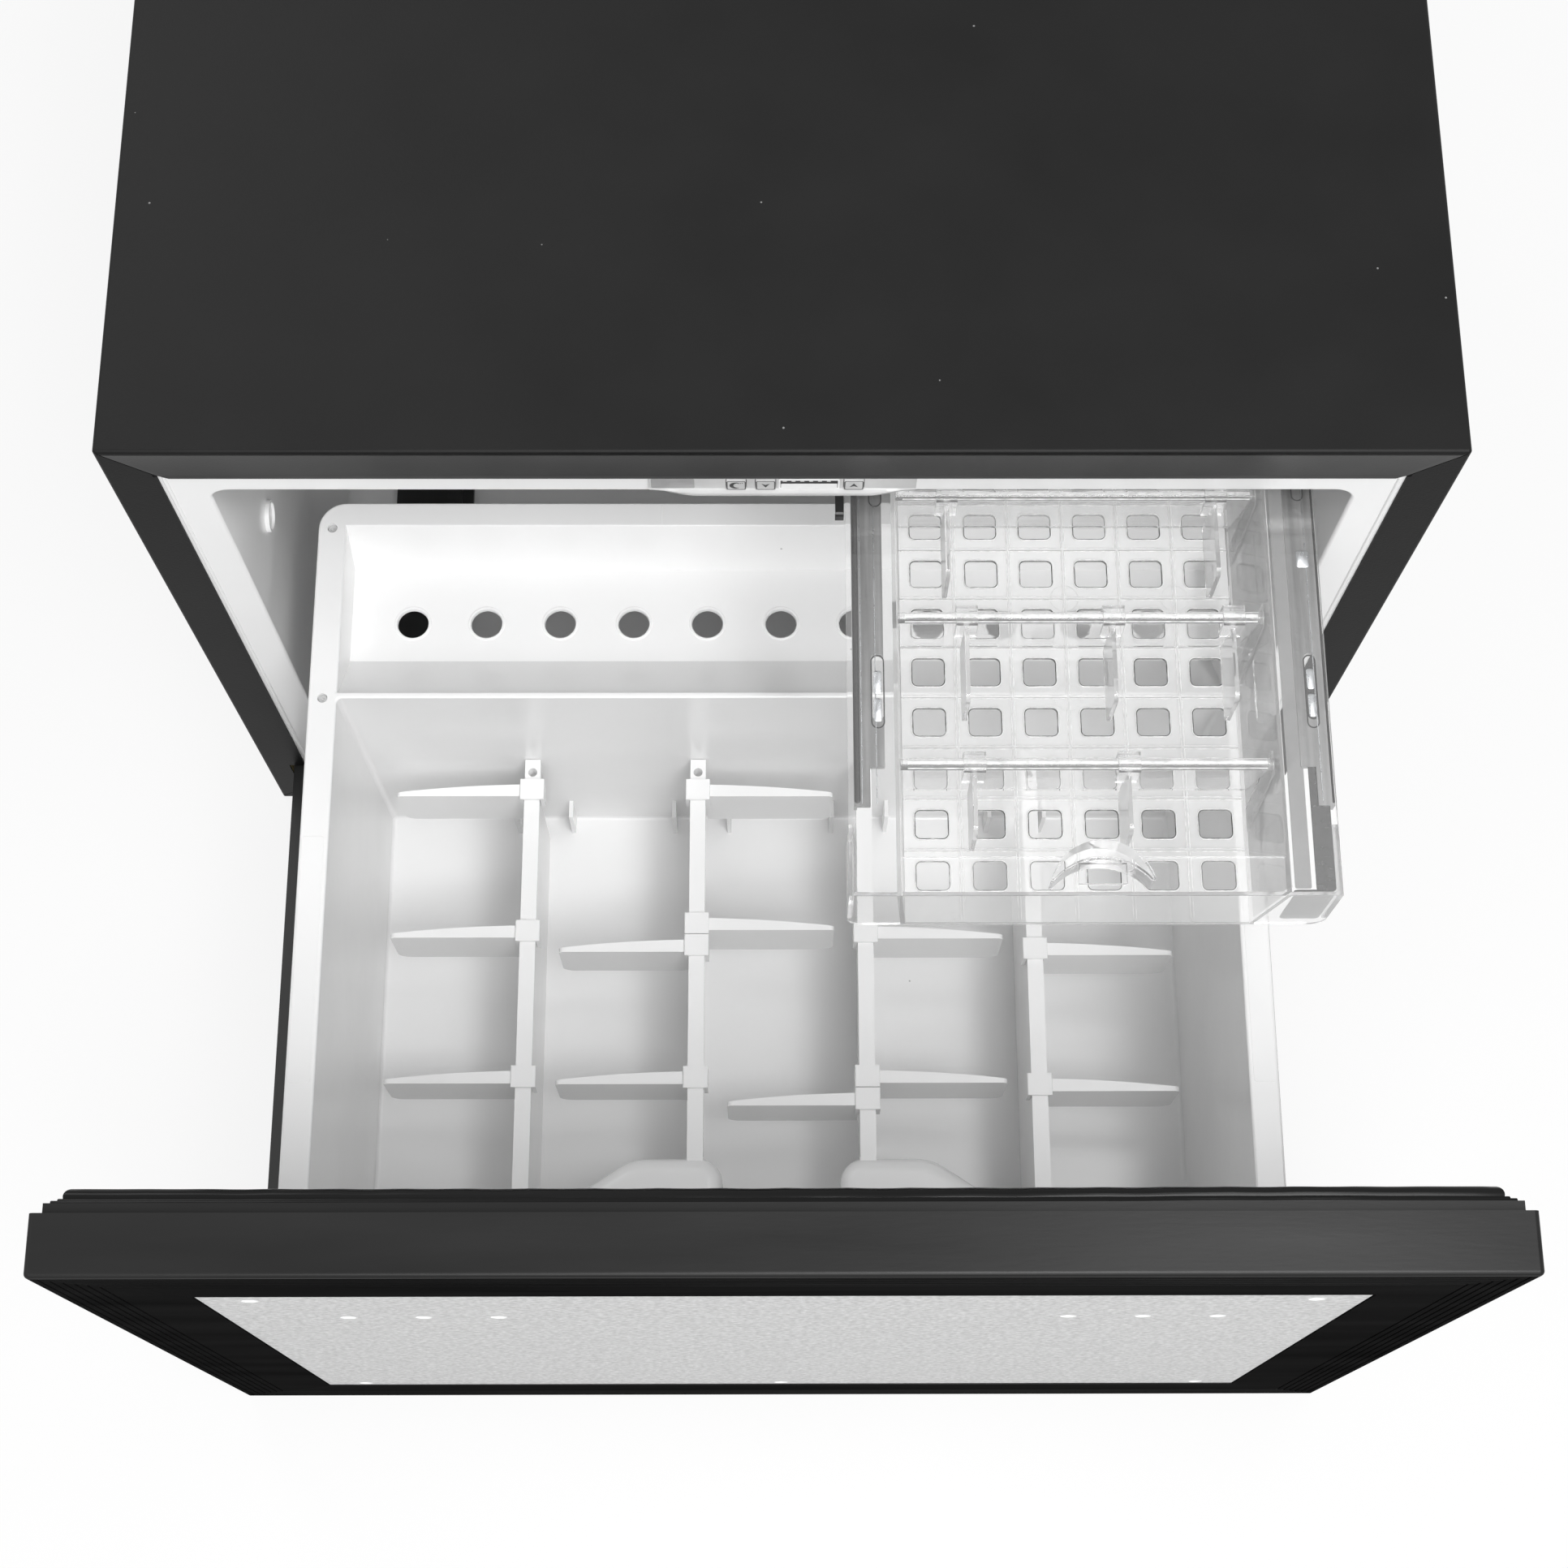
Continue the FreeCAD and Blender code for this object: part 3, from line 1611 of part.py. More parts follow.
def make_fan_rotor():
    y0 = fan_front() + fan_end_gap
    y1 = fan_front() + fan_depth - fan_back - fan_end_gap
    hub = rod(Vector(0, y0, cooler_height), along_y, fan_hub_radius, y1 - y0)
    reach = fan_bore_radius - fan_tip_gap
    shapes = [hub]
    for index in range(fan_blade_count):
        half = (y1 - y0) / 2 / math.cos(math.radians(fan_blade_lean)) - fan_blade_thickness
        thin = fan_blade_thickness / 2
        blade = block(-thin, thin, -half, half, fan_hub_radius - fan_blade_thickness, reach)
        blade.rotate(Vector(0, 0, 0), along_z, fan_blade_lean)
        blade.rotate(Vector(0, 0, 0), along_y, index * 360 / fan_blade_count)
        blade.translate(Vector(0, (y0 + y1) / 2, cooler_height))
        shapes.append(blade)
    rotor = joined(shapes)
    inside = rod(Vector(0, y0, cooler_height), along_y, reach, y1 - y0)
    rotor = rotor.common(inside)
    start = Vector(0, y0 - cut_margin, cooler_height)
    return rotor.cut(rod(start, along_y, fan_pin_radius + fan_pin_gap, 2 * fan_depth))


# Power supply on standoffs in the rear service space
def make_power_supply():
    x0 = board_x - board_width / 2
    z0 = board_bottom
    y0 = foam_rear + board_standoff
    y1 = y0 + board_thickness
    board = block(x0, x0 + board_width, y0, y1, z0, z0 + board_height)
    pieces = [board]
    for x in (x0 + standoff_margin, x0 + board_width - standoff_margin):
        for z in (z0 + standoff_margin, z0 + board_height - standoff_margin):
            pieces.append(rod(Vector(x, foam_rear, z), along_y, standoff_radius, board_standoff))
    coil_x = x0 + transformer_inset
    coil_z = z0 + board_height / 2
    half = transformer_size / 2
    coil_back = y1 + transformer_height
    pieces.append(block(coil_x - half, coil_x + half, y1, coil_back, coil_z - half, coil_z + half))
    for step in (-1, 1):
        z = coil_z + step * (capacitor_radius + screw_head)
        start = Vector(x0 + capacitor_inset, y1, z)
        pieces.append(rod(start, along_y, capacitor_radius, capacitor_length))
    return pieces


def make_power_inlet():
    half = inlet_width / 2
    middle = inlet_bottom + inlet_height / 2
    gap = screw_gap
    body = block(
        inlet_x - half + gap,
        inlet_x + half - gap,
        panel_face - inlet_depth,
        panel_face,
        inlet_bottom + gap,
        inlet_bottom + inlet_height - gap,
    )
    rim = block(
        inlet_x - half - inlet_rim,
        inlet_x + half + inlet_rim,
        panel_face,
        panel_face + inlet_rim_thickness,
        inlet_bottom - inlet_rim,
        inlet_bottom + inlet_height + inlet_rim,
    )
    well = block(
        inlet_x - half + inlet_wall,
        inlet_x + half - inlet_wall,
        panel_face - inlet_depth + inlet_wall,
        panel_face + cut_margin,
        inlet_bottom + inlet_wall,
        inlet_bottom + inlet_height - inlet_wall,
    )
    shapes = [joined([body, rim]).cut(well)]
    floor = panel_face - inlet_depth + inlet_wall
    for step in (-1, 0, 1):
        x = inlet_x + step * inlet_pin_pitch
        z = middle + (inlet_pin_stagger if step == 0 else -inlet_pin_stagger)
        shapes.append(
            block(
                x - inlet_pin_thickness / 2,
                x + inlet_pin_thickness / 2,
                floor,
                floor + inlet_pin_length,
                z - inlet_pin_width / 2,
                z + inlet_pin_width / 2,
            )
        )
    return shapes


# Where each fin stands: rail, share of the way from the bin's rear wall to the bottle rests,
# places behind a neighbour's collar, and side
fin_places = [
    ("fin_1_rear", 0, 0.0818, 0, -1),
    ("fin_1_middle", 0, 0.4446, 0, -1),
    ("fin_1_front", 0, 0.8049, 0, -1),
    ("fin_2_rear", 1, 0.0828, 0, 1),
    ("fin_2_middle", 1, 0.4263, 0, 1),
    ("fin_2_back_left", 1, 0.4263, 1, -1),
    ("fin_2_front_left", 1, 0.8069, 0, -1),
    ("fin_3_middle", 2, 0.4482, 0, 1),
    ("fin_3_front", 2, 0.8049, 0, 1),
    ("fin_3_front_left", 2, 0.8049, 1, -1),
    ("fin_4_middle", 3, 0.4903, 0, 1),
    ("fin_4_front", 3, 0.8257, 0, 1),
]

# Where each clear clip stands: rod from the front, and share of the basin's width from its left wall
clip_places = [
    ("clip_front_left", 0, 0.1991),
    ("clip_front_right", 0, 0.607),
    ("clip_middle_left", 1, 0.1893),
    ("clip_middle", 1, 0.5842),
    ("clip_middle_right", 1, 0.9073),
    ("clip_rear_left", 2, 0.1436),
    ("clip_rear_right", 2, 0.8779),
]

os.makedirs("parts", exist_ok=True)

save("outer_wrap", make_outer_wrap())
save("base_pan", make_base_pan())
save("rear_panel", make_rear_panel())
save("rear_screws", make_rear_screws())
save("insulation_foam", make_foam())
save("inner_liner", make_inner_liner())
save("wall_plugs", make_wall_plugs())
save("floor_guide", make_floor_guide())
save("runner_cabinet_members", make_runner_cabinet_members())
save("runner_middle_members", make_runner_middle_members())
save("runner_drawer_members", make_runner_drawer_members())
save("runner_brackets", make_runner_brackets())
save("drawer_screws", make_drawer_screws())
save("drawer_bin", make_drawer_bin())
save("divider_rails", make_divider_rails())
save("bottle_rests", make_bottle_rests())
save("door_frame", make_door_frame())
save("door_liner", make_door_liner())
save("door_foam", make_door_foam())
save("front_panel", make_front_panel())
save("panel_anchors", make_panel_anchors())
save("door_gasket", make_door_gasket())
save("tray_basin", make_tray_basin())
save("tray_floor", make_tray_floor())
save("tray_rods", make_tray_rods())
save("tray_runner_members", make_tray_runner_members())
save("tray_runner_middle_members", make_tray_runner_middle_members())
save("tray_runner_cabinet_members", make_tray_runner_cabinet_members())
save("control_housing", make_control_housing())
save("display_screen", screen_space())
save("button_night", make_key(night_key_x))
save("button_down", make_key(down_key_x))
save("button_up", make_key(up_key_x))
save("cooling_plate", make_cooling_plate())
save("cold_block", square_on_stack(cold_block_size, cavity_rear, peltier_front()))
save("peltier_module", square_on_stack(peltier_size, peltier_front(), foam_rear))
save("heat_sink", make_heat_sink())
save("fan_housing", make_fan_housing())
save("fan_rotor", make_fan_rotor())
save("power_supply", make_power_supply())
save("power_inlet", make_power_inlet())
fin_run = bin_rear - bin_front - rest_length
for fin_name, fin_rail, fin_share, fin_steps, fin_side in fin_places:
    fin_y = bin_rear - fin_share * fin_run - fin_steps * (collar_length + collar_pair_gap)
    save(fin_name, make_fin(fin_rail, fin_y, fin_side))
for clip_name, clip_rod, clip_share in clip_places:
    clip_x = basin_left + clip_share * (basin_right - basin_left)
    save(clip_name, make_clip(clip_rod, clip_x))
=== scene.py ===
import bpy
import json
import math
from mathutils import Matrix, Vector


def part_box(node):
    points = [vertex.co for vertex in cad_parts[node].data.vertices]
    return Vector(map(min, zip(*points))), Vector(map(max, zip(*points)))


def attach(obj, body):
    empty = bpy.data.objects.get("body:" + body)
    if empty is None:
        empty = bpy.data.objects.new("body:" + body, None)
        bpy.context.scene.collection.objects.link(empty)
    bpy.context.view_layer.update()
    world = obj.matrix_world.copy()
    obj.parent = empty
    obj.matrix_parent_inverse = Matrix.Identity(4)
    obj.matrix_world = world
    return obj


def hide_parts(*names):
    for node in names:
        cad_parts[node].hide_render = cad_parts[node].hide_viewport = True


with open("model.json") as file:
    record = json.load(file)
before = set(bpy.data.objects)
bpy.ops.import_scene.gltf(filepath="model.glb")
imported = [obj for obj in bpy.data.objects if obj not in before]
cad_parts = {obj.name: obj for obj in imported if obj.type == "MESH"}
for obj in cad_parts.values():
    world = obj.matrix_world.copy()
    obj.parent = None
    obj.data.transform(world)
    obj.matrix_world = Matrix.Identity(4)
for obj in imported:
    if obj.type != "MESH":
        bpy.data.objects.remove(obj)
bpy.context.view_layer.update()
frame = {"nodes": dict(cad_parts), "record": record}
nodes = frame["nodes"]
mm = 0.001


# sRGB hex to the linear values that shaders take
def linear(hexColour):
    parts = [int(hexColour[i:i + 2], 16) / 255 for i in (1, 3, 5)]
    return [p / 12.92 if p <= 0.04045 else ((p + 0.055) / 1.055) ** 2.4 for p in parts] + [1.0]


def addNode(tree, kind, values=None, links=None):
    made = tree.nodes.new(kind)
    for key, value in (values or {}).items():
        if isinstance(key, int) or key in made.inputs:
            made.inputs[key].default_value = value
        else:
            setattr(made, key, value)
    for key, source in (links or {}).items():
        tree.links.new(source, made.inputs[key])
    return made


def newMaterial(name):
    material = bpy.data.materials.new(name)
    material.use_nodes = True
    material.node_tree.nodes.clear()
    return material, material.node_tree


# An opaque finish: two close tones in soft patches, a grain in the surface, and a few dust specks
def surface(name, look):
    toneEnds = (0.3, 0.7)
    speckRadius = 0.05  # share of the distance between specks
    material, tree = newMaterial(name)
    place = addNode(tree, "ShaderNodeTexCoord").outputs["Object"]
    stretch = addNode(tree, "ShaderNodeMapping", {"Scale": look.get("stretch", (1, 1, 1))}, {"Vector": place})
    along = {"Vector": stretch.outputs["Vector"]}
    patches = addNode(tree, "ShaderNodeTexNoise", {"Scale": 1 / (look["patch"] * mm), "Detail": 4.0}, along)
    tone = addNode(tree, "ShaderNodeValToRGB", links={"Fac": patches.outputs["Fac"]})
    for stop, position, shade in zip(tone.color_ramp.elements, toneEnds, (look["dark"], look["light"])):
        stop.position = position
        stop.color = linear(shade)
    colour = tone.outputs["Color"]
    grain = addNode(tree, "ShaderNodeTexNoise", {"Scale": 1 / (look["grain"] * mm), "Detail": 3.0}, along)
    if "specks" in look:
        cells = addNode(tree, "ShaderNodeTexVoronoi", {"Scale": 1 / (look["specks"] * mm)}, along)
        near = addNode(tree, "ShaderNodeMath", {"operation": "LESS_THAN", 1: speckRadius},
                       {0: cells.outputs["Distance"]})
        few = addNode(tree, "ShaderNodeSeparateColor", links={"Color": cells.outputs["Color"]})
        some = addNode(tree, "ShaderNodeMath", {"operation": "LESS_THAN", 1: look["speckShare"]},
                       {0: few.outputs[0]})
        both = addNode(tree, "ShaderNodeMath", {"operation": "MULTIPLY"},
                       {0: near.outputs[0], 1: some.outputs[0]})
        mixed = addNode(tree, "ShaderNodeMix", {"data_type": "RGBA", 7: linear(look["speckColour"])},
                        {0: both.outputs[0], 6: colour})
        colour = mixed.outputs[2]
    rough = addNode(tree, "ShaderNodeMapRange", {"To Min": look["rough"][0], "To Max": look["rough"][1]},
                    {"Value": patches.outputs["Fac"]})
    bump = addNode(tree, "ShaderNodeBump", {"Strength": 1.0, "Distance": look["height"] * mm},
                   {"Height": grain.outputs["Fac"]})
    shader = addNode(tree, "ShaderNodeBsdfPrincipled", look.get("sockets"),
                     {"Base Color": colour, "Roughness": rough.outputs["Result"],
                      "Normal": bump.outputs["Normal"]})
    if "gloss" in look:  # level on upright faces, and on faces that look up
        normal = addNode(tree, "ShaderNodeNewGeometry").outputs["Normal"]
        facing = addNode(tree, "ShaderNodeSeparateXYZ", links={0: normal})
        level = addNode(tree, "ShaderNodeMapRange", {"To Min": look["gloss"][0], "To Max": look["gloss"][1]},
                        {"Value": facing.outputs["Z"]})
        tree.links.new(level.outputs["Result"], shader.inputs["Specular IOR Level"])
    addNode(tree, "ShaderNodeOutputMaterial", links={"Surface": shader.outputs["BSDF"]})
    return material


# Lengths of patch, grain, height and specks are in mm
finishes = {
    # textured powder coat: deep black that breaks a light into a soft, grainy patch
    "powderCoat": {"dark": "#0e0e0e", "light": "#151515", "patch": 60, "grain": 0.9, "height": 0.06,
                   "rough": (0.42, 0.52), "specks": 9, "speckShare": 0.05, "speckColour": "#8a8a8a",
                   "gloss": (0.08, 0.2)},
    # the same coat on the folded front, greyer with soft light patches: a lit copy of the black coat, painted
    # sheen
    "sheenPaintedPowderCoat": {"dark": "#303030", "light": "#414141", "patch": 70, "grain": 0.9, "height": 0.04,
                         "rough": (0.34, 0.5), "specks": 9, "speckShare": 0.05, "speckColour": "#8a8a8a",
                         "sockets": {"Specular IOR Level": 0.3}},
    # extruded black profile: satin on top, dull on the upright faces, with faint drawn streaks along it
    "satinBlackPlastic": {"dark": "#141414", "light": "#1e1e1e", "patch": 30, "grain": 1.4, "height": 0.03,
                          "rough": (0.18, 0.46), "stretch": (0.15, 1, 1), "specks": 12, "speckShare": 0.06,
                          "speckColour": "#777777", "gloss": (0.0, 0.22)},
    # glossy white moulding: clean, with slight waves that bend reflections
    "glossWhiteMoulding": {"dark": "#f6f6f6", "light": "#f9f9f9", "patch": 80, "grain": 14, "height": 0.05,
                           "rough": (0.2, 0.28), "specks": 11, "speckShare": 0.03, "speckColour": "#c4c4c4"},
    # satin grey ABS: an even, slightly shiny grey
    "greyModulePlastic": {"dark": "#c4c4c4", "light": "#d2d2d2", "patch": 20, "grain": 2, "height": 0.01,
                          "rough": (0.18, 0.26)},
    # smoked acrylic: a darker, glassy grey
    "smokedWindow": {"dark": "#979797", "light": "#a3a3a3", "patch": 14, "grain": 2, "height": 0.01,
                     "rough": (0.12, 0.18)},
    # pad-printed ink: flat dark lines
    "printedInk": {"dark": "#343434", "light": "#444444", "patch": 4, "grain": 0.5, "height": 0.005,
                   "rough": (0.5, 0.6)},
    # rolled zinc: grey metal with fine lines along the slide
    "rolledZinc": {"dark": "#a2a2a2", "light": "#c0c0c0", "patch": 3, "grain": 0.8, "height": 0.02,
                   "rough": (0.36, 0.5), "stretch": (1, 0.03, 1), "sockets": {"Metallic": 1.0}},
    # blackened steel: dark grey with a soft gleam
    "blackOxideSteel": {"dark": "#1b1b1b", "light": "#262626", "patch": 12, "grain": 0.8, "height": 0.02,
                        "rough": (0.3, 0.42), "stretch": (1, 0.1, 1)},
    # sheet rolled with a stucco pattern and painted light grey; its tone follows the bumps: painted highlight
    # on the crests, painted shade in the hollows
    "stuccoPaintedSheet": {"dark": "#acacac", "light": "#d4d4d4", "patch": 2.4, "grain": 2.4, "height": 0.7,
                           "rough": (0.4, 0.5), "sockets": {"Specular IOR Level": 0.2}},
    # extruded soft rubber: deep black with thin wet-looking lines of light
    "softRubber": {"dark": "#121212", "light": "#1a1a1a", "patch": 25, "grain": 1.2, "height": 0.02,
                   "rough": (0.16, 0.26), "stretch": (0.1, 0.3, 1), "specks": 14, "speckShare": 0.06,
                   "speckColour": "#6a6a6a", "sockets": {"Specular IOR Level": 0.14}},
    # dark glass over the display: near black and sharp in its reflections
    "darkGlassScreen": {"dark": "#1c1c1c", "light": "#242424", "patch": 8, "grain": 1, "height": 0.005,
                        "rough": (0.08, 0.12)},
    # hot-dip galvanised sheet: cool grey with crystal patches
    "galvanisedSheet": {"dark": "#8c9093", "light": "#a9adaf", "patch": 9, "grain": 1.5, "height": 0.02,
                        "rough": (0.3, 0.5), "sockets": {"Metallic": 1.0}},
    # zinc-plated steel: light grey metal
    "zincScrew": {"dark": "#a0a2a4", "light": "#b8babc", "patch": 4, "grain": 0.5, "height": 0.01,
                  "rough": (0.22, 0.34), "sockets": {"Metallic": 1.0}},
    # sawn aluminium: pale metal with upright saw lines
    "sawnAluminium": {"dark": "#b0b2b4", "light": "#c8cacc", "patch": 6, "grain": 0.6, "height": 0.02,
                      "rough": (0.3, 0.42), "stretch": (1, 1, 0.08), "sockets": {"Metallic": 1.0}},
    # foamed polyurethane: dull yellow with open cells
    "foamedInsulation": {"dark": "#d8c583", "light": "#e6d7a0", "patch": 18, "grain": 1.6, "height": 0.6,
                         "rough": (0.8, 0.9)},
    # fired ceramic: dull warm white
    "whiteCeramic": {"dark": "#e4e2dc", "light": "#eeece8", "patch": 6, "grain": 0.4, "height": 0.01,
                     "rough": (0.5, 0.6)},
}
materials = {name: surface(name, look) for name, look in finishes.items()}


# injection-moulded clear plastic: see-through, milky where it is seen edge on, bright edges, hardly a shadow
def clearMoulding(name, look):
    veilPower = 3.0  # keeps the milky veil to the edges
    material, tree = newMaterial(name)
    place = addNode(tree, "ShaderNodeTexCoord").outputs["Object"]
    wave = addNode(tree, "ShaderNodeTexNoise", {"Scale": 1 / (look["wave"] * mm), "Detail": 2.0},
                   {"Vector": place})
    bump = addNode(tree, "ShaderNodeBump", {"Distance": look["height"] * mm}, {"Height": wave.outputs["Fac"]})
    normal = {"Normal": bump.outputs["Normal"]}
    glass = addNode(tree, "ShaderNodeBsdfGlass",
                    {"Color": linear(look["tint"]), "Roughness": 0.0, "IOR": look["bend"]}, normal)
    milk = addNode(tree, "ShaderNodeBsdfDiffuse", {"Color": linear(look["milk"])}, normal)
    facing = addNode(tree, "ShaderNodeLayerWeight", {"Blend": 0.5}, normal)
    steep = addNode(tree, "ShaderNodeMath", {"operation": "POWER", 1: veilPower},
                    {0: facing.outputs["Facing"]})
    share = addNode(tree, "ShaderNodeMapRange", {"To Min": look["veil"][0], "To Max": look["veil"][1]},
                    {"Value": steep.outputs[0]})
    body = addNode(tree, "ShaderNodeMixShader",
                   links={0: share.outputs["Result"], 1: glass.outputs[0], 2: milk.outputs[0]})
    through = addNode(tree, "ShaderNodeBsdfTransparent", {"Color": linear(look["shadow"])})
    path = addNode(tree, "ShaderNodeLightPath")
    soft = addNode(tree, "ShaderNodeMath", {"operation": "MAXIMUM"},
                   {0: path.outputs["Is Shadow Ray"], 1: path.outputs["Is Diffuse Ray"]})
    mixed = addNode(tree, "ShaderNodeMixShader",
                    links={0: soft.outputs[0], 1: body.outputs[0], 2: through.outputs[0]})
    addNode(tree, "ShaderNodeOutputMaterial", links={"Surface": mixed.outputs[0]})
    return material


clearFinishes = {
    # thin walls: mostly a view through, with mirrored light at a low angle
    "clearMoulding": {"tint": "#ffffff", "milk": "#ffffff", "shadow": "#f7f7f7", "veil": (0.05, 0.45),
                      "wave": 9, "height": 0.02, "bend": 1.42},
    # floor plate: milkier than the walls; its stronger white veil is partly painted reflection, brightening
    # the plate as the mirrored lamps would
    "clearFloorPlate": {"tint": "#ffffff", "milk": "#ffffff", "shadow": "#f7f7f7", "veil": (0.29, 0.6),
                        "wave": 6, "height": 0.02, "bend": 1.3},
    # rods with thin panels below: nearly all of what is behind them shows
    "clearRod": {"tint": "#ffffff", "milk": "#ffffff", "shadow": "#f4f4f4", "veil": (0.07, 0.32),
                 "wave": 4, "height": 0.02, "bend": 1.25},
}
for clearName, clearLook in clearFinishes.items():
    materials[clearName] = clearMoulding(clearName, clearLook)


# Painted light and shade on clear plastic: a line or sheet of flat colour that comes and goes in a noise, for
# an edge that catches the light or not
def paintedLightLine(name, look):
    noiseEnds = (0.35, 0.65)
    material, tree = newMaterial(name)
    place = addNode(tree, "ShaderNodeTexCoord").outputs["Object"]
    broken = addNode(tree, "ShaderNodeTexNoise", {"Scale": 1 / (look["patch"] * mm), "Detail": 3.0},
                     {"Vector": place})
    share = addNode(tree, "ShaderNodeMapRange", {"From Min": noiseEnds[0], "From Max": noiseEnds[1],
                                                 "To Min": look["share"][0], "To Max": look["share"][1]},
                    {"Value": broken.outputs["Fac"]})
    line = addNode(tree, "ShaderNodeBsdfPrincipled",
                   {"Base Color": linear(look["colour"]), "Roughness": look["rough"]})
    through = addNode(tree, "ShaderNodeBsdfTransparent")
    mixed = addNode(tree, "ShaderNodeMixShader",
                    links={0: share.outputs["Result"], 1: through.outputs[0], 2: line.outputs[0]})
    addNode(tree, "ShaderNodeOutputMaterial", links={"Surface": mixed.outputs[0]})
    return material


paintedLightFinishes = {
    # painted highlight: a white line for the light that a polished edge of clear plastic gathers
    "paintedClearHighlight": {"colour": "#ffffff", "share": (0.45, 0.95), "patch": 5, "rough": 0.2},
    # painted shade: a thin dark line for a moulded step in clear plastic that bends the view away
    "paintedClearStepShade": {"colour": "#3c3c3c", "share": (0.25, 0.9), "patch": 4, "rough": 0.3},
    # painted reflection: a dark, speckled patch for the black cabinet mirrored in the corner of clear plastic
    "paintedCornerReflection": {"colour": "#1c1c1c", "share": (0.85, 1.0), "patch": 2.2, "rough": 0.4},
    # painted reflection: a pale veil over what is behind, for the light mirrored in the side of clear plastic
    "paintedWallReflection": {"colour": "#f4f4f4", "share": (0.42, 0.7), "patch": 26, "rough": 0.3},
    # painted reflection: the same plastic against the metal slide, as a grey veil
    "paintedFlangeReflection": {"colour": "#909090", "share": (0.7, 0.88), "patch": 18, "rough": 0.3},
}
for paintedLightName, paintedLightLook in paintedLightFinishes.items():
    materials[paintedLightName] = paintedLightLine(paintedLightName, paintedLightLook)

slotFinish = {
    "black_powder_coat": "powderCoat", "galvanised_sheet": "galvanisedSheet", "zinc_screw": "zincScrew",
    "foam": "foamedInsulation", "white_plastic": "glossWhiteMoulding", "black_plastic": "satinBlackPlastic",
    "black_steel": "blackOxideSteel", "zinc_slide": "rolledZinc", "clear_plastic": "clearMoulding",
    "grey_panel": "stuccoPaintedSheet", "gasket_rubber": "softRubber", "dark_screen": "darkGlassScreen",
    "module_grey": "greyModulePlastic", "aluminium": "sawnAluminium", "ceramic_white": "whiteCeramic",
}
nodeFinish = {"tray_floor": "clearFloorPlate", "tray_rods": "clearRod",
              "floor_guide": "blackOxideSteel"}
for part in frame["record"]["subparts"]:
    mesh = nodes[part["node"]].data
    mesh.materials.clear()
    mesh.materials.append(materials[nodeFinish.get(part["node"], slotFinish[part["material_slot"]])])
print("stage: finishes on", len(nodes), "pieces")


# A named piece on a body, from points in mm, with the finish it shares
def piece(name, points, faces, finish, body, smooth=True):
    sharpAngle = 40
    mesh = bpy.data.meshes.new(name)
    mesh.from_pydata([[value * mm for value in point] for point in points], [], faces)
    mesh.validate()
    mesh.update()
    if smooth:
        mesh.polygons.foreach_set("use_smooth", [True] * len(mesh.polygons))
        mesh.set_sharp_from_angle(angle=math.radians(sharpAngle))
    made = bpy.data.objects.new(name, mesh)
    bpy.context.scene.collection.objects.link(made)
    mesh.materials.append(materials[finish])
    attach(made, body)
    return made


# Faces between equal loops of points; wrap joins the last loop to the first, caps close the ends
def loft(loops, wrap=False, caps=(False, False), offset=0):
    count = len(loops[0])
    faces = []
    for row in range(len(loops) if wrap else len(loops) - 1):
        nextRow = (row + 1) % len(loops)
        for column in range(count):
            nextColumn = (column + 1) % count
            faces.append([offset + row * count + column, offset + row * count + nextColumn,
                          offset + nextRow * count + nextColumn, offset + nextRow * count + column])
    if caps[0]:
        faces.append([offset + column for column in reversed(range(count))])
    if caps[1]:
        faces.append([offset + (len(loops) - 1) * count + column for column in range(count)])
    return [point for loop in loops for point in loop], faces


# Several lofts in one piece
def gather(parts):
    points, faces = [], []
    for loops, wrap, caps in parts:
        morePoints, moreFaces = loft(loops, wrap, caps, len(points))
        points += morePoints
        faces += moreFaces
    return points, faces


# Rounded rectangle in the plane, drawn in by inset
def roundedLoop(x0, x1, y0, y1, radius, inset=0.0, steps=5):
    x0, x1, y0, y1 = x0 + inset, x1 - inset, y0 + inset, y1 - inset
    radius = max(radius - inset, 0.02)
    loop = []
    for cx, cy, start in ((x1 - radius, y0 + radius, -90), (x1 - radius, y1 - radius, 0),
                          (x0 + radius, y1 - radius, 90), (x0 + radius, y0 + radius, 180)):
        for step in range(steps + 1):
            angle = math.radians(start + 90 * step / steps)
            loop.append((cx + radius * math.cos(angle), cy + radius * math.sin(angle)))
    return loop


def ring(cx, cy, radius, steps=40):
    turns = [2 * math.pi * step / steps for step in range(steps)]
    return [(cx + radius * math.cos(turn), cy + radius * math.sin(turn)) for turn in turns]


def lying(loop, z):
    return [(a, b, z) for a, b in loop]


# Upright in a front face: a runs right, b runs up
def upright(loop, y):
    return [(a, y, b) for a, b in loop]


# Rounded outlines in a stack, from steps of (inset, height) or (inset, depth)
def lyingStack(edges, radius, base, steps, arcSteps=5):
    return [lying(roundedLoop(*edges, radius, inset, arcSteps), base + height) for inset, height in steps]


def uprightStack(edges, radius, base, steps):
    return [upright(roundedLoop(*edges, radius, inset), base + depth) for inset, depth in steps]


def boxMm(node):
    return [[value / mm for value in corner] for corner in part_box(node)]


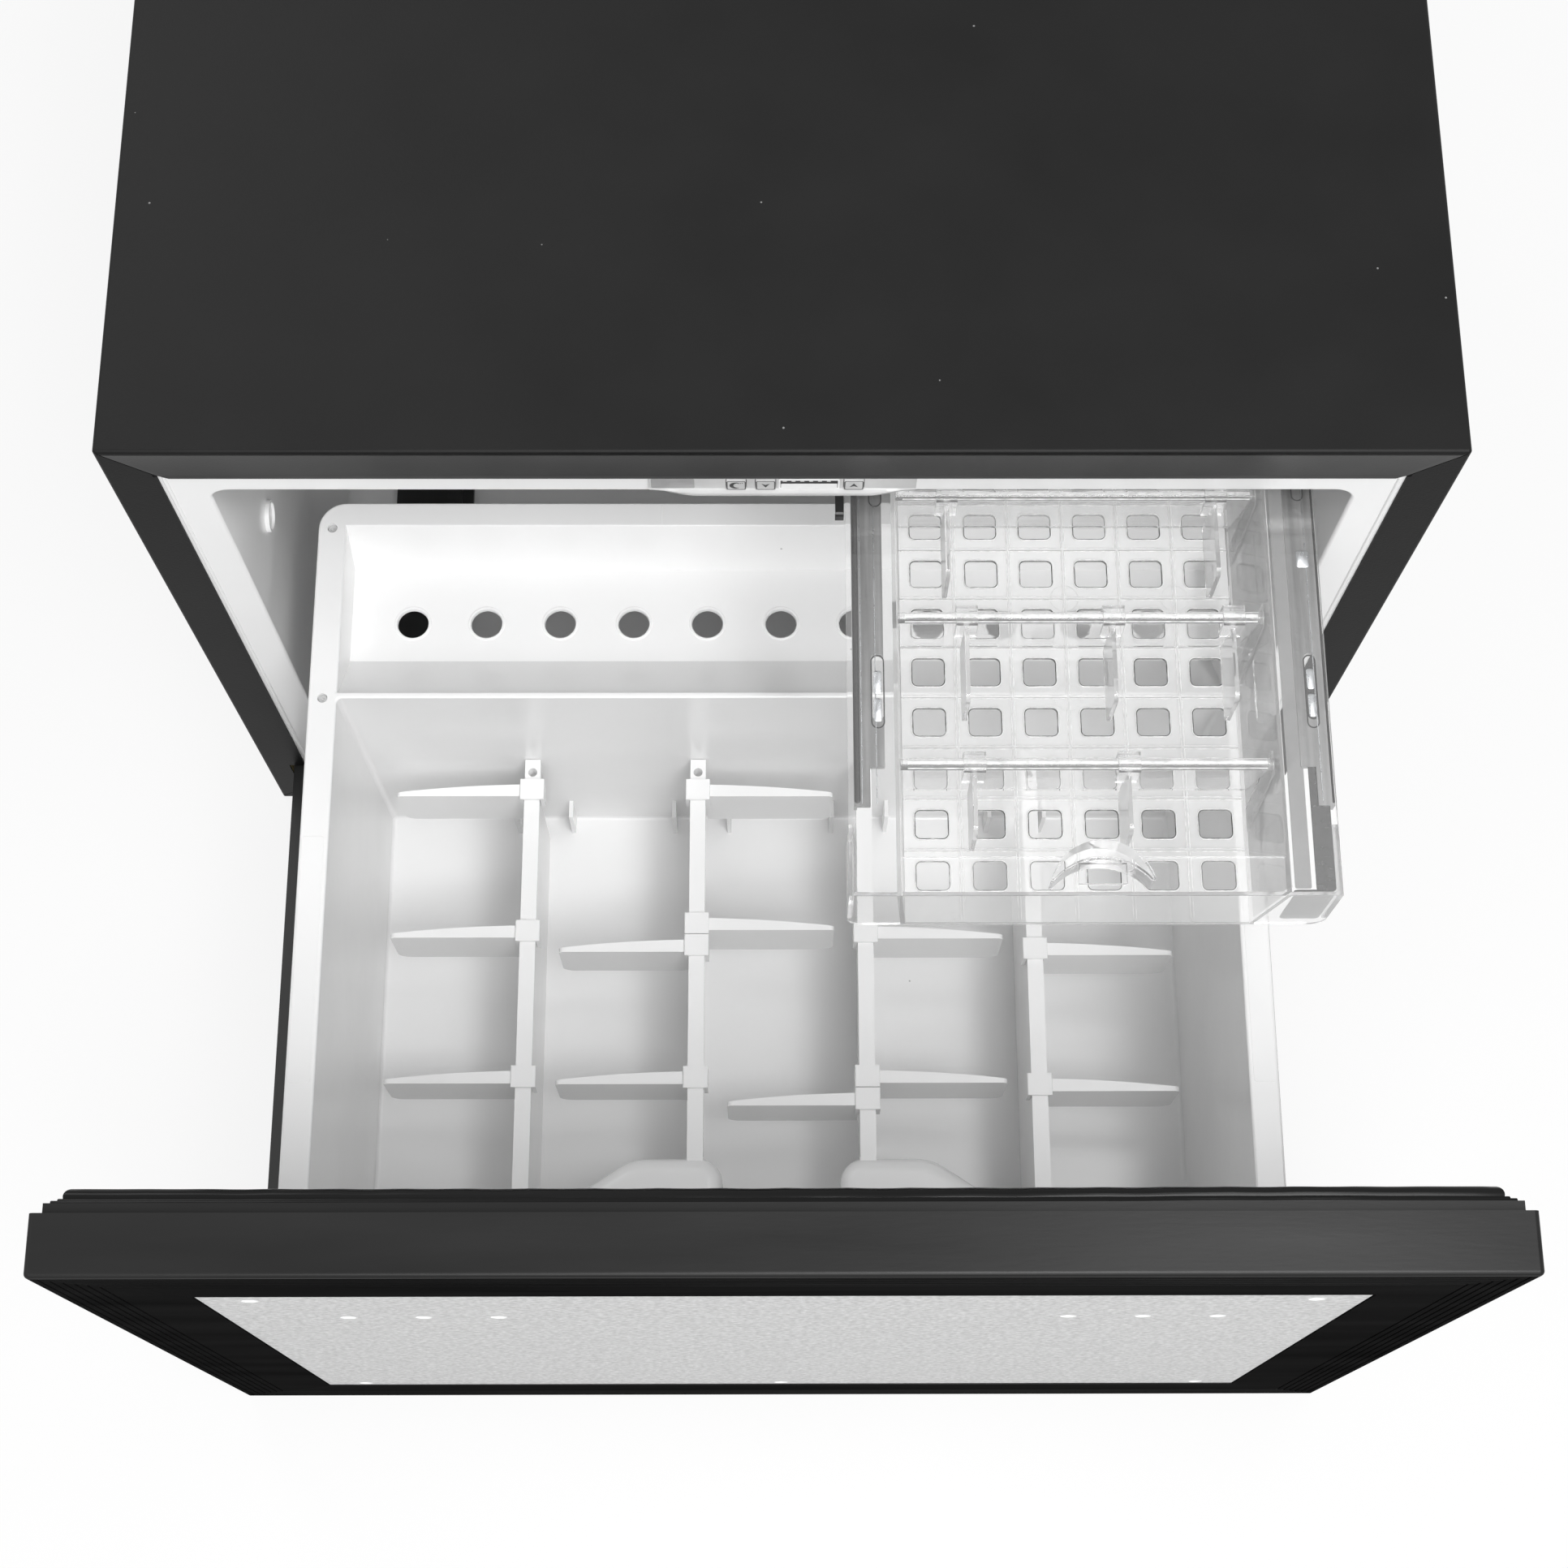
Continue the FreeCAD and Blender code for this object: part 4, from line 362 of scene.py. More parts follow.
# Extruded door seal: an outer lip, a groove, a step and a hollow bulb, a little wavy as soft rubber is
def makeGasket():
    look = {"steps": 90, "bulbCentre": (6.75, 3.35), "bulbRadius": 3.3, "arc": 14, "wave": 0.22,
            "waveLength": 47.0, "lift": 1.3, "liftCentre": 185.0, "liftLength": 75.0, "tall": 6.7,
            "ease": 8, "turn": 6.28}
    (x0, y0, z0), (x1, y1, z1) = boxMm("door_gasket")
    profile = [(0.0, 0.0), (0.0, 0.9), (0.25, 1.25), (0.7, 1.3), (1.05, 1.0), (1.25, 0.55), (1.65, 0.5),
               (1.95, 0.8), (2.0, 1.9), (2.25, 2.3), (2.75, 2.35), (3.05, 2.05), (3.2, 2.2)]
    for step in range(look["arc"] + 1):
        angle = math.radians(200 - 210 * step / look["arc"])
        profile.append((look["bulbCentre"][0] + look["bulbRadius"] * math.cos(angle),
                        look["bulbCentre"][1] + look["bulbRadius"] * math.sin(angle)))
    profile += [(10.05, 1.0), (10.4, 0.6), (10.4, 0.0)]
    corners = [(-1, 1), (1, 1), (1, -1), (-1, -1)]
    middle, halfX, halfZ = (z0 + z1) / 2, (x1 - x0) / 2, (z1 - z0) / 2
    loops = []
    for side in range(4):
        (ax, az), (bx, bz) = corners[side], corners[(side + 1) % 4]
        for step in range(look["steps"]):
            share = step / look["steps"]
            loop = []
            for inset, height in profile:
                x = (ax + (bx - ax) * share) * (halfX - inset)
                z = middle + (az + (bz - az) * share) * (halfZ - inset)
                run = x if side % 2 == 0 else z
                ease = min(share, 1 - share) * look["ease"]
                phase = run / look["waveLength"] * look["turn"] + side
                ripple = look["wave"] * math.sin(phase) * min(ease, 1)
                away = (x - look["liftCentre"]) / look["liftLength"]
                lift = look["lift"] * math.exp(-away ** 2) if side == 0 else 0
                soft = height / look["tall"]
                if side % 2 == 0:
                    z += (ripple + lift) * soft
                else:
                    x += ripple * soft
                loop.append((x, y0 + height - abs(ripple) * soft, z))
            loops.append(loop)
    points, faces = loft(loops, wrap=True)
    made = piece("doorSeal", points, faces, "softRubber", "drawer")
    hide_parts("door_gasket")


makeGasket()


# Control strip: a flat face with a well for each key, over a ledge that swells forward in the middle
def makeControlStrip():
    look = {"columns": 72, "faceLow": 393.9, "face": -220.9, "ledge": 2.1, "taper": 20.0, "endLow": 392.6,
            "back": -215.5, "wellFloor": -216.5, "wellGap": 0.3, "wellTop": 402.5, "wellLow": 394.0,
            "windowStart": 0.8, "windowEnd": 18.5, "windowInset": 0.5}
    face, back, wellTop, wellLow = look["face"], look["back"], look["wellTop"], look["wellLow"]
    (x0, y0, z0), (x1, y1, z1) = boxMm("control_housing")
    wells = []
    for key in ("night", "down", "up"):
        low, high = boxMm("button_" + key)
        wells.append((low[0] - look["wellGap"], high[0] + look["wellGap"]))
    places = [x0 + (x1 - x0) * column / look["columns"] for column in range(look["columns"] + 1)]
    for start, end in wells:
        places = [x for x in places if not start - 0.1 < x < end + 0.1]
        places += [start - 0.02, start, (start + end) / 2, end, end + 0.02]
    loops = []
    for x in sorted(places):
        sunk = any(start <= x <= end for start, end in wells)
        floor = look["wellFloor"] if sunk else face
        share = min(1.0, min(x - x0, x1 - x) / look["taper"])
        swell = share * share * (3 - 2 * share)
        out = face - look["ledge"] * swell - 0.12
        low = look["endLow"] + (z0 - look["endLow"]) * swell
        edge = look["faceLow"]
        loops.append([(x, back, z1), (x, face + 0.35, z1), (x, face, z1 - 0.35), (x, face, wellTop + 0.02),
                      (x, floor, wellTop), (x, floor, wellLow), (x, face, wellLow - 0.02),
                      (x, face - 0.1, edge), (x, out + 0.3, edge - 0.2), (x, out, edge - 0.6),
                      (x, out + 0.1, (edge + low) / 2 - 0.4), (x, out + 0.9 * swell + 0.2, low + 0.3),
                      (x, face + 0.9, low), (x, back, low)])
    points, faces = loft(loops, caps=(True, True))
    made = piece("controlStrip", points, faces, "greyModulePlastic", "cabinet")
    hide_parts("control_housing")
    edges = (x0 + look["windowStart"], x0 + look["windowEnd"], look["faceLow"] + look["windowInset"],
             z1 - look["windowInset"])
    window = uprightStack(edges, 0.8, face, ((0, 0.2), (0, -0.05), (0.12, -0.1)))
    points, faces = loft(window, caps=(False, True))
    piece("sensorWindow", points, faces, "smokedWindow", "cabinet")


makeControlStrip()


# Rounded frame and a printed sign on each key
def makeKeySigns():
    look = {"frame": 0.4, "raise": 0.08, "corner": 1.2, "arc": 24,
            # centre, half width, half height, first angle and sweep of the moon's two sides
            "moon": ((-0.3, 2.4, 2.7, 60, 240), (0.65, 1.8, 2.1, 285, -210))}
    crescent = []
    for centre, halfX, halfZ, first, sweep in look["moon"]:
        for step in range(look["arc"] + 1):
            angle = math.radians(first + sweep * step / look["arc"])
            crescent.append((centre + halfX * math.cos(angle), halfZ * math.sin(angle)))
    arrow = [(-1.65, -1.5), (0, -0.5), (1.65, -1.5), (0, 1.8)]
    signs = {"night": [crescent] + [ring(0.9 + 0.8 * dot, 1.7 + 0.25 * dot, 0.26, 10) for dot in range(3)],
             "down": [[(-a, -b) for a, b in arrow]], "up": [arrow]}
    for key, outlines in signs.items():
        (x0, y0, z0), (x1, y1, z1) = boxMm("button_" + key)
        face = y0 - look["raise"]
        loops = uprightStack((x0, x1, z0, z1), look["corner"], y0,
                             ((0.05, 0), (0.12, -look["raise"]), (look["frame"], -look["raise"]),
                              (look["frame"] + 0.1, 0)))
        parts = [(loops, False, (False, False))]
        middleX, middleZ = (x0 + x1) / 2, (z0 + z1) / 2
        for outline in outlines:
            flat = [(middleX + a, middleZ + b) for a, b in outline]
            parts.append(([upright(flat, y0 + 0.1), upright(flat, face)], False, (False, True)))
        points, faces = gather(parts)
        piece("keySign_" + key, points, faces, "printedInk", "key_" + key, smooth=False)


makeKeySigns()


# Light frame round the display, a pale strip under it and short bars of a plain level sign
def makeDisplayFrame():
    look = {"frame": 0.7, "strip": 0.55, "bars": 6, "barWidth": 1.6, "barHeight": 0.5, "barDrop": 1.4}
    (x0, y0, z0), (x1, y1, z1) = boxMm("display_screen")
    border = look["frame"]
    loops = uprightStack((x0 - border, x1 + border, z0 - 0.3, z1 + 0.3), 0.8, y0,
                         ((0, 0.2), (0.05, -0.1), (border, -0.1), (border + 0.1, 0.05)))
    low = z0 + (z1 - z0) * look["strip"]
    strip = uprightStack((x0 + 0.3, x1 - 0.3, z0 + 0.2, low), 0.4, y0, ((0, 0.1), (0, -0.06), (0.1, -0.1)))
    parts = [(loops, False, (False, False)), (strip, False, (False, True))]
    pitch = (x1 - x0 - 2) / look["bars"]
    for bar in range(look["bars"]):
        start = x0 + 1 + bar * pitch
        end, foot = start + look["barWidth"], z1 - look["barDrop"]
        head = foot + look["barHeight"]
        outline = [(start, foot), (end, foot), (end, head), (start, head)]
        parts.append(([upright(outline, y0 + 0.05), upright(outline, y0 - 0.05)], False, (False, True)))
    points, faces = gather(parts)
    piece("displayFrame", points, faces, "glossWhiteMoulding", "cabinet", smooth=False)


makeDisplayFrame()


# Thin inlay plates and a seam on the drawer's rim
def makeRimInlays():
    look = {"inner": 205.9, "outer": 215.9, "front": -435.9, "rear": -322.8, "raise": 0.16, "corner": 1.6,
            "rim": 247.0, "seam": -56.2, "seamWidth": 0.7, "seamFront": -169.6, "seamRear": -159.2}
    for side, name in ((-1, "rimInlay_left"), (1, "rimInlay_right")):
        ends = sorted((side * look["inner"], side * look["outer"]))
        loops = lyingStack((*ends, look["front"], look["rear"]), look["corner"], look["rim"],
                           ((0, -0.3), (0, 0.04), (0.14, look["raise"])))
        points, faces = loft(loops, caps=(False, True))
        piece(name, points, faces, "glossWhiteMoulding", "drawer")
    seam = (look["seam"], look["seam"] + look["seamWidth"], look["seamFront"], look["seamRear"])
    loops = lyingStack(seam, 0.3, look["rim"], ((0, -0.3), (0, 0.03), (0.12, 0.1)))
    points, faces = loft(loops, caps=(False, True))
    piece("rimSeam", points, faces, "glossWhiteMoulding", "drawer")


makeRimInlays()


# Raised bead round each hole of the shelf
def makeShelfBeads():
    look = {"count": 11, "pitch": 35.0, "y": -207.0, "z": 217.0, "inner": 7.3, "outer": 8.9, "height": 0.5}
    parts = []
    for index in range(look["count"]):
        x = (index - (look["count"] - 1) / 2) * look["pitch"]
        loops = [lying(ring(x, look["y"], radius), look["z"] + height) for radius, height in
                 ((look["outer"], -0.2), (look["outer"] - 0.25, 0.25), (look["outer"] - 0.7, look["height"]),
                  (look["inner"] + 0.35, look["height"] * 0.8), (look["inner"], -0.1), (look["inner"], -2.4))]
        parts.append((loops, False, (False, False)))
    points, faces = gather(parts)
    piece("shelfBeads", points, faces, "glossWhiteMoulding", "drawer")


makeShelfBeads()


# White bushes in the holes of the front panel
def makePanelBushes():
    look = {"outer": 3.66, "inner": 3.25, "face": -544.3, "proud": 0.03, "depth": 2.4,
            "holes": [(-204, 355.5), (204, 355.5), (-204, 57.5), (0, 57.5), (204, 57.5), (-174, 306.5),
                      (-144, 306.5), (-114, 306.5), (114, 306.5), (144, 306.5), (174, 306.5)]}
    parts = []
    for x, z in look["holes"]:
        outer, inner, proud = look["outer"], look["inner"], look["proud"]
        loops = [upright(ring(x, z, radius), look["face"] + y) for radius, y in
                 ((outer, look["depth"]), (outer, 0.0), (outer - 0.1, -proud), (inner + 0.1, -proud),
                  (inner, 0.1), (inner, look["depth"]))]
        parts.append((loops, True, (False, False)))
    points, faces = gather(parts)
    piece("panelBushes", points, faces, "glossWhiteMoulding", "drawer")


makePanelBushes()


# Faint round marks that the mould's pins left on the tray's floor
def makePinMarks():
    look = {"places": [(120.75, -289.8), (167.95, -244.6), (120.75, -244.6)], "radius": 6.2, "width": 0.45,
            "rib": 0.7}
    top = boxMm("tray_floor")[1][2] - look["rib"]
    parts = []
    for x, y in look["places"]:
        outer, inner = look["radius"], look["radius"] - look["width"]
        loops = [lying(ring(x, y, radius), top + height) for radius, height in
                 ((outer, -0.1), (outer - 0.1, 0.15), (inner, 0.15), (inner - 0.1, -0.1))]
        parts.append((loops, True, (False, False)))
    points, faces = gather(parts)
    piece("trayPinMarks", points, faces, "clearMoulding", "tray")


makePinMarks()


# Bright rolled lip of the liner, just inside the folded steel front, broken by the control strip
def makeLinerLip():
    look = {"halfWidth": 252.6, "low": 23.0, "high": 402.6, "face": -219.0, "width": 1.7, "height": 0.85,
            "arc": 8, "corner": 3.0, "stripHalf": 55.0, "bracketGap": 4.0}
    edges = (-look["halfWidth"], look["halfWidth"], look["low"], look["high"])
    foot = boxMm("runner_brackets")[1][2] + look["bracketGap"]  # the drawer's brackets pass below it
    runs = ([], [])
    for step in range(look["arc"] + 1):
        angle = math.pi * step / look["arc"]
        inset = look["width"] * (1 - math.cos(angle)) / 2
        loop = roundedLoop(*edges, look["corner"], inset)
        corner = len(loop) // 4
        edge, high = look["halfWidth"] - inset, look["high"] - inset
        paths = ([(-look["stripHalf"], high)] + loop[2 * corner:3 * corner] + [(-edge, foot)],
                 [(edge, foot)] + loop[corner:2 * corner] + [(look["stripHalf"], high)])
        for run, path in zip(runs, paths):
            run.append(upright(path, look["face"] - look["height"] * math.sin(angle)))
    parts = [([list(section) for section in zip(*run)], False, (True, True)) for run in runs]
    points, faces = gather(parts)
    piece("linerLip", points, faces, "glossWhiteMoulding", "cabinet")


makeLinerLip()


# Face of the folded steel front with a hem along its lower edge; its ends follow the mitre. Its skin carries
# painted sheen
def makeFlangeHem():
    look = {"halfWidth": 253.8, "edge": 404.0, "top": 422.3, "drop": 1.0, "face": -220.0, "proud": 1.0,
            "skin": 0.06, "fade": 4.0, "end": 0.3}
    low, out = look["edge"] - look["drop"], look["face"] - look["proud"]
    skin, behind = look["face"] - look["skin"], look["face"] + 0.3
    full = [(behind, look["top"]), (skin, look["top"]), (skin, look["edge"] + 0.6), (out + 0.4, low + 0.6),
            (out + 0.1, low + 0.35), (out, low + 0.15), (out + 0.15, low), (behind, low)]
    flat = [(behind, look["top"]), (skin, look["top"]), (skin, look["edge"] + 0.6), (skin, low + 1.3),
            (skin, low + 1.2), (skin, low + 1.1), (skin, low + 1.05), (behind, low + 1.05)]
    sections = []
    fade, end = look["fade"], look["end"]
    for side, inset, profile in ((-1, end, flat), (-1, fade, full), (1, fade, full), (1, end, flat)):
        sections.append([(side * (look["halfWidth"] - inset + z - look["edge"]), y, z) for y, z in profile])
    points, faces = loft(sections, caps=(True, True))
    # painted sheen: this skin is greyer than the black coat beneath it
    piece("flangeHem", points, faces, "sheenPaintedPowderCoat", "cabinet")


makeFlangeHem()


# Painted light and shade at the floor's windows: a bead of painted highlight round each, and a thin line of
# painted shade where its wall drops away
def makeWindowLightAndShade():
    look = {"columns": 6, "rows": 14, "firstX": 61.75, "firstY": -368.9, "pitchX": 23.6, "pitchY": 22.6,
            "halfX": 7.1, "halfY": 6.4, "corner": 2.5, "bead": 0.4, "height": 0.3, "shade": 0.4, "rib": 0.7}
    top = boxMm("tray_floor")[1][2] - look["rib"]
    beads, shades = [], []
    for column in range(look["columns"]):
        for row in range(look["rows"]):
            x = look["firstX"] + column * look["pitchX"]
            y = look["firstY"] + row * look["pitchY"]
            edges = (x - look["halfX"], x + look["halfX"], y - look["halfY"], y + look["halfY"])
            bead = lyingStack(edges, look["corner"], top,
                              ((-look["bead"], -0.05), (-look["bead"] * 0.8, look["height"] * 0.8),
                               (-look["bead"] * 0.35, look["height"]), (0.02, 0.05)))
            shade = lyingStack(edges, look["corner"], top,
                               ((0.02, 0.04), (look["shade"], -0.15), (look["shade"], -0.4), (0.02, -0.3)))
            beads.append((bead, False, (False, False)))
            shades.append((shade, True, (False, False)))
    points, faces = gather(beads)
    piece("windowHighlights", points, faces, "paintedClearHighlight", "tray")
    points, faces = gather(shades)
    piece("windowEdgeShade", points, faces, "paintedClearStepShade", "tray")


makeWindowLightAndShade()


# Painted highlights along the crests of the thin ribs between the windows
def makeRibHighlights():
    look = {"columns": 5, "rows": 13, "firstX": 73.55, "firstY": -357.6, "pitchX": 23.6, "pitchY": 22.6,
            "halfGap": 0.62, "width": 0.34, "height": 0.22, "inset": 1.2, "drop": 0.75}
    (x0, y0, z0), (x1, y1, top) = boxMm("tray_floor")
    low = top - look["drop"]
    parts, bars = [], []
    for column in range(look["columns"]):
        x = look["firstX"] + column * look["pitchX"]
        bars += [(x + side * look["halfGap"], None) for side in (-1, 1)]
    for row in range(look["rows"]):
        y = look["firstY"] + row * look["pitchY"]
        bars += [(None, y + side * look["halfGap"]) for side in (-1, 1)]
    half = look["width"] / 2
    for x, y in bars:
        if y is None:
            edges = (x - half, x + half, y0 + look["inset"], y1 - look["inset"])
        else:
            edges = (x0 + look["inset"], x1 - look["inset"], y - half, y + half)
        loops = lyingStack(edges, half, low,
                           ((0, 0), (0, look["height"]), (half * 0.6, look["height"] * 1.4)), 2)
        parts.append((loops, False, (False, True)))
    points, faces = gather(parts)
    piece("ribHighlights", points, faces, "paintedClearHighlight", "tray")


makeRibHighlights()


# Dark strips of blackened steel on the rolled edges of the tray's metal slides, painted shade there, and a
# pale drawn line, seen through the clear flange
def makeSlideEdges():
    look = {"top": 372.5, "front": -350.0, "rear": -102.0,
            "dark": [(28.5, 31.0), (220.3, 221.2)], "darkHeight": 0.5,
            "pale": [(31.5, 31.9), (37.4, 37.8), (216.4, 216.8)], "paleHeight": 0.18}
    for name, finish, strips, height in (("slideEdgeShade", "blackOxideSteel", look["dark"], look["darkHeight"]),
                                         ("slideLines", "zincScrew", look["pale"], look["paleHeight"])):
        parts = []
        for x0, x1 in strips:
            half = (x1 - x0) / 2
            steps = ((0, -0.3), (0, height * 0.5), (half * 0.35, height * 0.9), (half * 0.8, height))
            loops = lyingStack((x0, x1, look["front"], look["rear"]), half, look["top"], steps, 3)
            parts.append((loops, False, (False, True)))
        points, faces = gather(parts)
        piece(name, points, faces, finish, "tray")


makeSlideEdges()


# Long punched slots in the tray's slides, each outlined in blackened steel as painted shade where it drops
# away, with a bent hook in it
def makeSlideSlots():
    look = {"top": 372.5, "rim": 0.55, "height": 0.14, "hookInset": 1.1, "hookHeight": 0.3,
            "slots": [(35.7, 41.3, -219.6, -196.0), (35.7, 41.3, -318.0, -286.0),
                      (212.4, 217.6, -318.0, -286.0), (212.4, 217.6, -217.0, -196.0)],
            "hooks": [(35.7, 41.3, -315.0, -305.0), (35.7, 41.3, -303.0, -293.0),
                      (212.4, 217.6, -313.0, -303.0), (212.4, 217.6, -301.0, -292.0),
                      (211.5, 219.0, -247.1, -239.6)]}
    parts = []
    rim, height, inward = look["rim"], look["height"], look["hookInset"]
    for x0, x1, front, rear in look["slots"]:
        loops = lyingStack((x0, x1, front, rear), (x1 - x0) / 2, look["top"],
                           ((0, -0.2), (0, height), (rim, height), (rim, -0.2)))
        parts.append((loops, True, (False, False)))
    points, faces = gather(parts)
    piece("slideSlotShade", points, faces, "blackOxideSteel", "tray")
    parts = []
    for x0, x1, front, rear in look["hooks"]:
        loops = lyingStack((x0 + inward, x1 - inward, front, rear), 1.0, look["top"],
                           ((0, -0.2), (0, look["hookHeight"] * 0.6), (0.35, look["hookHeight"])))
        parts.append((loops, False, (False, True)))
    points, faces = gather(parts)
    piece("slideHooks", points, faces, "zincScrew", "tray")


makeSlideSlots()


# Painted reflection of the black cabinet in the front right corner of the tray: dark sheets under the flange
# and behind the front wall
def makeCornerReflection():
    look = {"x0": 211.6, "x1": 219.4, "front": -386.4, "rear": -331.5, "top": 371.6, "sheet": 0.6,
            "wallX0": 203.0, "wallX1": 219.0, "wallLow": 337.0, "wallHigh": 370.6, "wallY": -386.2}
    flat = lyingStack((look["x0"], look["x1"], look["front"], look["rear"]), 1.2, look["top"],
                      ((0, -look["sheet"]), (0, -0.1), (0.1, 0.0)))
    wall = uprightStack((look["wallX0"], look["wallX1"], look["wallLow"], look["wallHigh"]), 2.0,
                        look["wallY"], ((0, look["sheet"]), (0, 0.1), (0.1, 0.0)))
    points, faces = gather([(flat, False, (True, True)), (wall, False, (True, True))])
    piece("cornerReflection", points, faces, "paintedCornerReflection", "tray")


makeCornerReflection()


# Bent stop tab beside the left slide
def makeSlideStop():
    look = {"x0": 22.0, "x1": 25.6, "front": -222.4, "rear": -210.5, "top": 371.4, "sheet": 0.7,
            "drop": 5.2, "lip": 2.6}
    front, rear, top, sheet = look["front"], look["rear"], look["top"], look["sheet"]
    foot, lip = top - look["drop"], front + look["lip"]
    profile = [(rear, top), (front + 1.4, top), (front + 0.5, top - 0.4), (front, top - 1.4), (front, foot),
               (lip, foot), (lip, foot + sheet), (front + sheet, foot + sheet), (front + sheet, top - 1.5),
               (front + 1.5, top - sheet), (rear, top - sheet)]
    sections = [[(x, y, z) for y, z in profile] for x in (look["x0"], look["x1"])]
    points, faces = loft(sections, caps=(True, True))
    piece("slideStop", points, faces, "blackOxideSteel", "cabinet", smooth=False)


makeSlideStop()


# Tails that carry the two middle bars up to the bottle rests
def makeBarTails():
    look = {"places": (-40.33, 40.33), "half": 3.95, "rear": -452.4, "front": -458.0, "top": 162.95,
            "low": 148.0}
    parts = []
    for x in look["places"]:
        edges = (x - look["half"], x + look["half"], look["front"], look["rear"])
        loops = lyingStack(edges, 0.4, 0, ((0, look["low"]), (0, look["top"] - 0.3), (0.25, look["top"])))
        parts.append((loops, False, (True, True)))
    points, faces = gather(parts)
    piece("barTails", points, faces, "glossWhiteMoulding", "drawer")


makeBarTails()


# White lines of light along each rod in the tray
def makeRodGleams():
    look = {"places": (-332.0, -268.0, -212.5), "radius": 2.58, "centre": 369.0, "arc": 3, "thin": 0.3,
            "inset": 3.0, "lines": ((90, 15), (148, 6), (38, 6))}
    (x0, y0, z0), (x1, y1, z1) = boxMm("tray_rods")
    ends = (x0 + look["inset"], x1 - look["inset"])
    parts = []
    for y in look["places"]:
        for middle, spread in look["lines"]:
            turns = [math.radians(middle - spread + 2 * spread * step / look["arc"])
                     for step in range(look["arc"] + 1)]
            outline = [(look["radius"] * math.cos(turn), look["radius"] * math.sin(turn)) for turn in turns]
            inner = look["radius"] - look["thin"]
            outline += [(inner * math.cos(turn), inner * math.sin(turn)) for turn in reversed(turns)]
            loops = [[(x, y + a, look["centre"] + b) for a, b in outline] for x in ends]
            parts.append((loops, False, (True, True)))
    points, faces = gather(parts)
    piece("rodGleams", points, faces, "paintedClearHighlight", "tray")


makeRodGleams()


# Painted reflections: a pale sheet on the leaning right wall of the tray, and a grey one under the flange
# beside it
def makeWallReflections():
    look = {"foot": 193.8, "head": 201.6, "low": 336.2, "high": 374.0, "front": -385.5, "rear": -66.0,
            "sheet": 0.3, "flangeX0": 203.0, "flangeX1": 209.6, "under": 371.9, "steps": 6}
    rows = []
    for step in range(look["steps"] + 1):
        share = step / look["steps"]
        x = look["foot"] + (look["head"] - look["foot"]) * share
        z = look["low"] + (look["high"] - look["low"]) * share
        rows.append([(x - look["sheet"], look["front"], z), (x, look["front"], z), (x, look["rear"], z),
                     (x - look["sheet"], look["rear"], z)])
    under = lyingStack((look["flangeX0"], look["flangeX1"], look["front"], look["rear"]), 0.8, look["under"],
                       ((0, -look["sheet"]), (0, -0.05), (0.08, 0.0)))
    points, faces = loft(rows, caps=(True, True))
    piece("wallReflection", points, faces, "paintedWallReflection", "tray", smooth=False)
    points, faces = loft(under, caps=(True, True))
    piece("flangeReflection", points, faces, "paintedFlangeReflection", "tray", smooth=False)


makeWallReflections()


# Track worn into the rail of the floor guide
def makeGuideTrack():
    look = {"x0": -182.3, "x1": -178.6, "proud": 0.12, "inset": 1.0}
    (x0, y0, z0), (x1, y1, z1) = boxMm("floor_guide")
    loops = lyingStack((look["x0"], look["x1"], y0 + look["inset"], y1 - look["inset"]), 1.2, z1,
                       ((0, -0.2), (0, 0.04), (0.2, look["proud"])))
    points, faces = loft(loops, caps=(False, True))
    piece("guideTrack", points, faces, "blackOxideSteel", "cabinet")


makeGuideTrack()


# Sunk grey plugs in the four holes of the drawer's rim; their grey is partly painted shade, for the shade
# down in the holes
def makeRimPlugShade():
    look = {"x": 210.5, "rearInset": 13.0, "front": -256.3, "radius": 2.15, "top": 245.6, "tall": 1.6,
            "slot": 0.9}
    rear = boxMm("drawer_bin")[1][1] - look["rearInset"]
    parts = []
    for side in (-1, 1):
        for y in (rear, look["front"]):
            x = side * look["x"]
            loops = [lying(ring(x, y, radius, 24), look["top"] + z) for radius, z in
                     ((look["radius"], -look["tall"]), (look["radius"], -0.5), (look["radius"] * 0.8, -0.12),
                      (look["slot"], 0.0), (look["slot"] * 0.7, -0.7))]
            parts.append((loops, False, (True, True)))
    points, faces = gather(parts)
    piece("rimPlugShade", points, faces, "greyModulePlastic", "drawer")


makeRimPlugShade()


# Rays that carry the white studio to the eye: straight, through clear plastic or off a shiny face
def eyeRays(tree):
    path = addNode(tree, "ShaderNodeLightPath")
    through = addNode(tree, "ShaderNodeMath", {"operation": "MAXIMUM"},
                      {0: path.outputs["Is Camera Ray"], 1: path.outputs["Is Transmission Ray"]})
    seen = addNode(tree, "ShaderNodeMath", {"operation": "MAXIMUM"},
                   {0: through.outputs[0], 1: path.outputs["Is Glossy Ray"]})
    return seen.outputs[0]


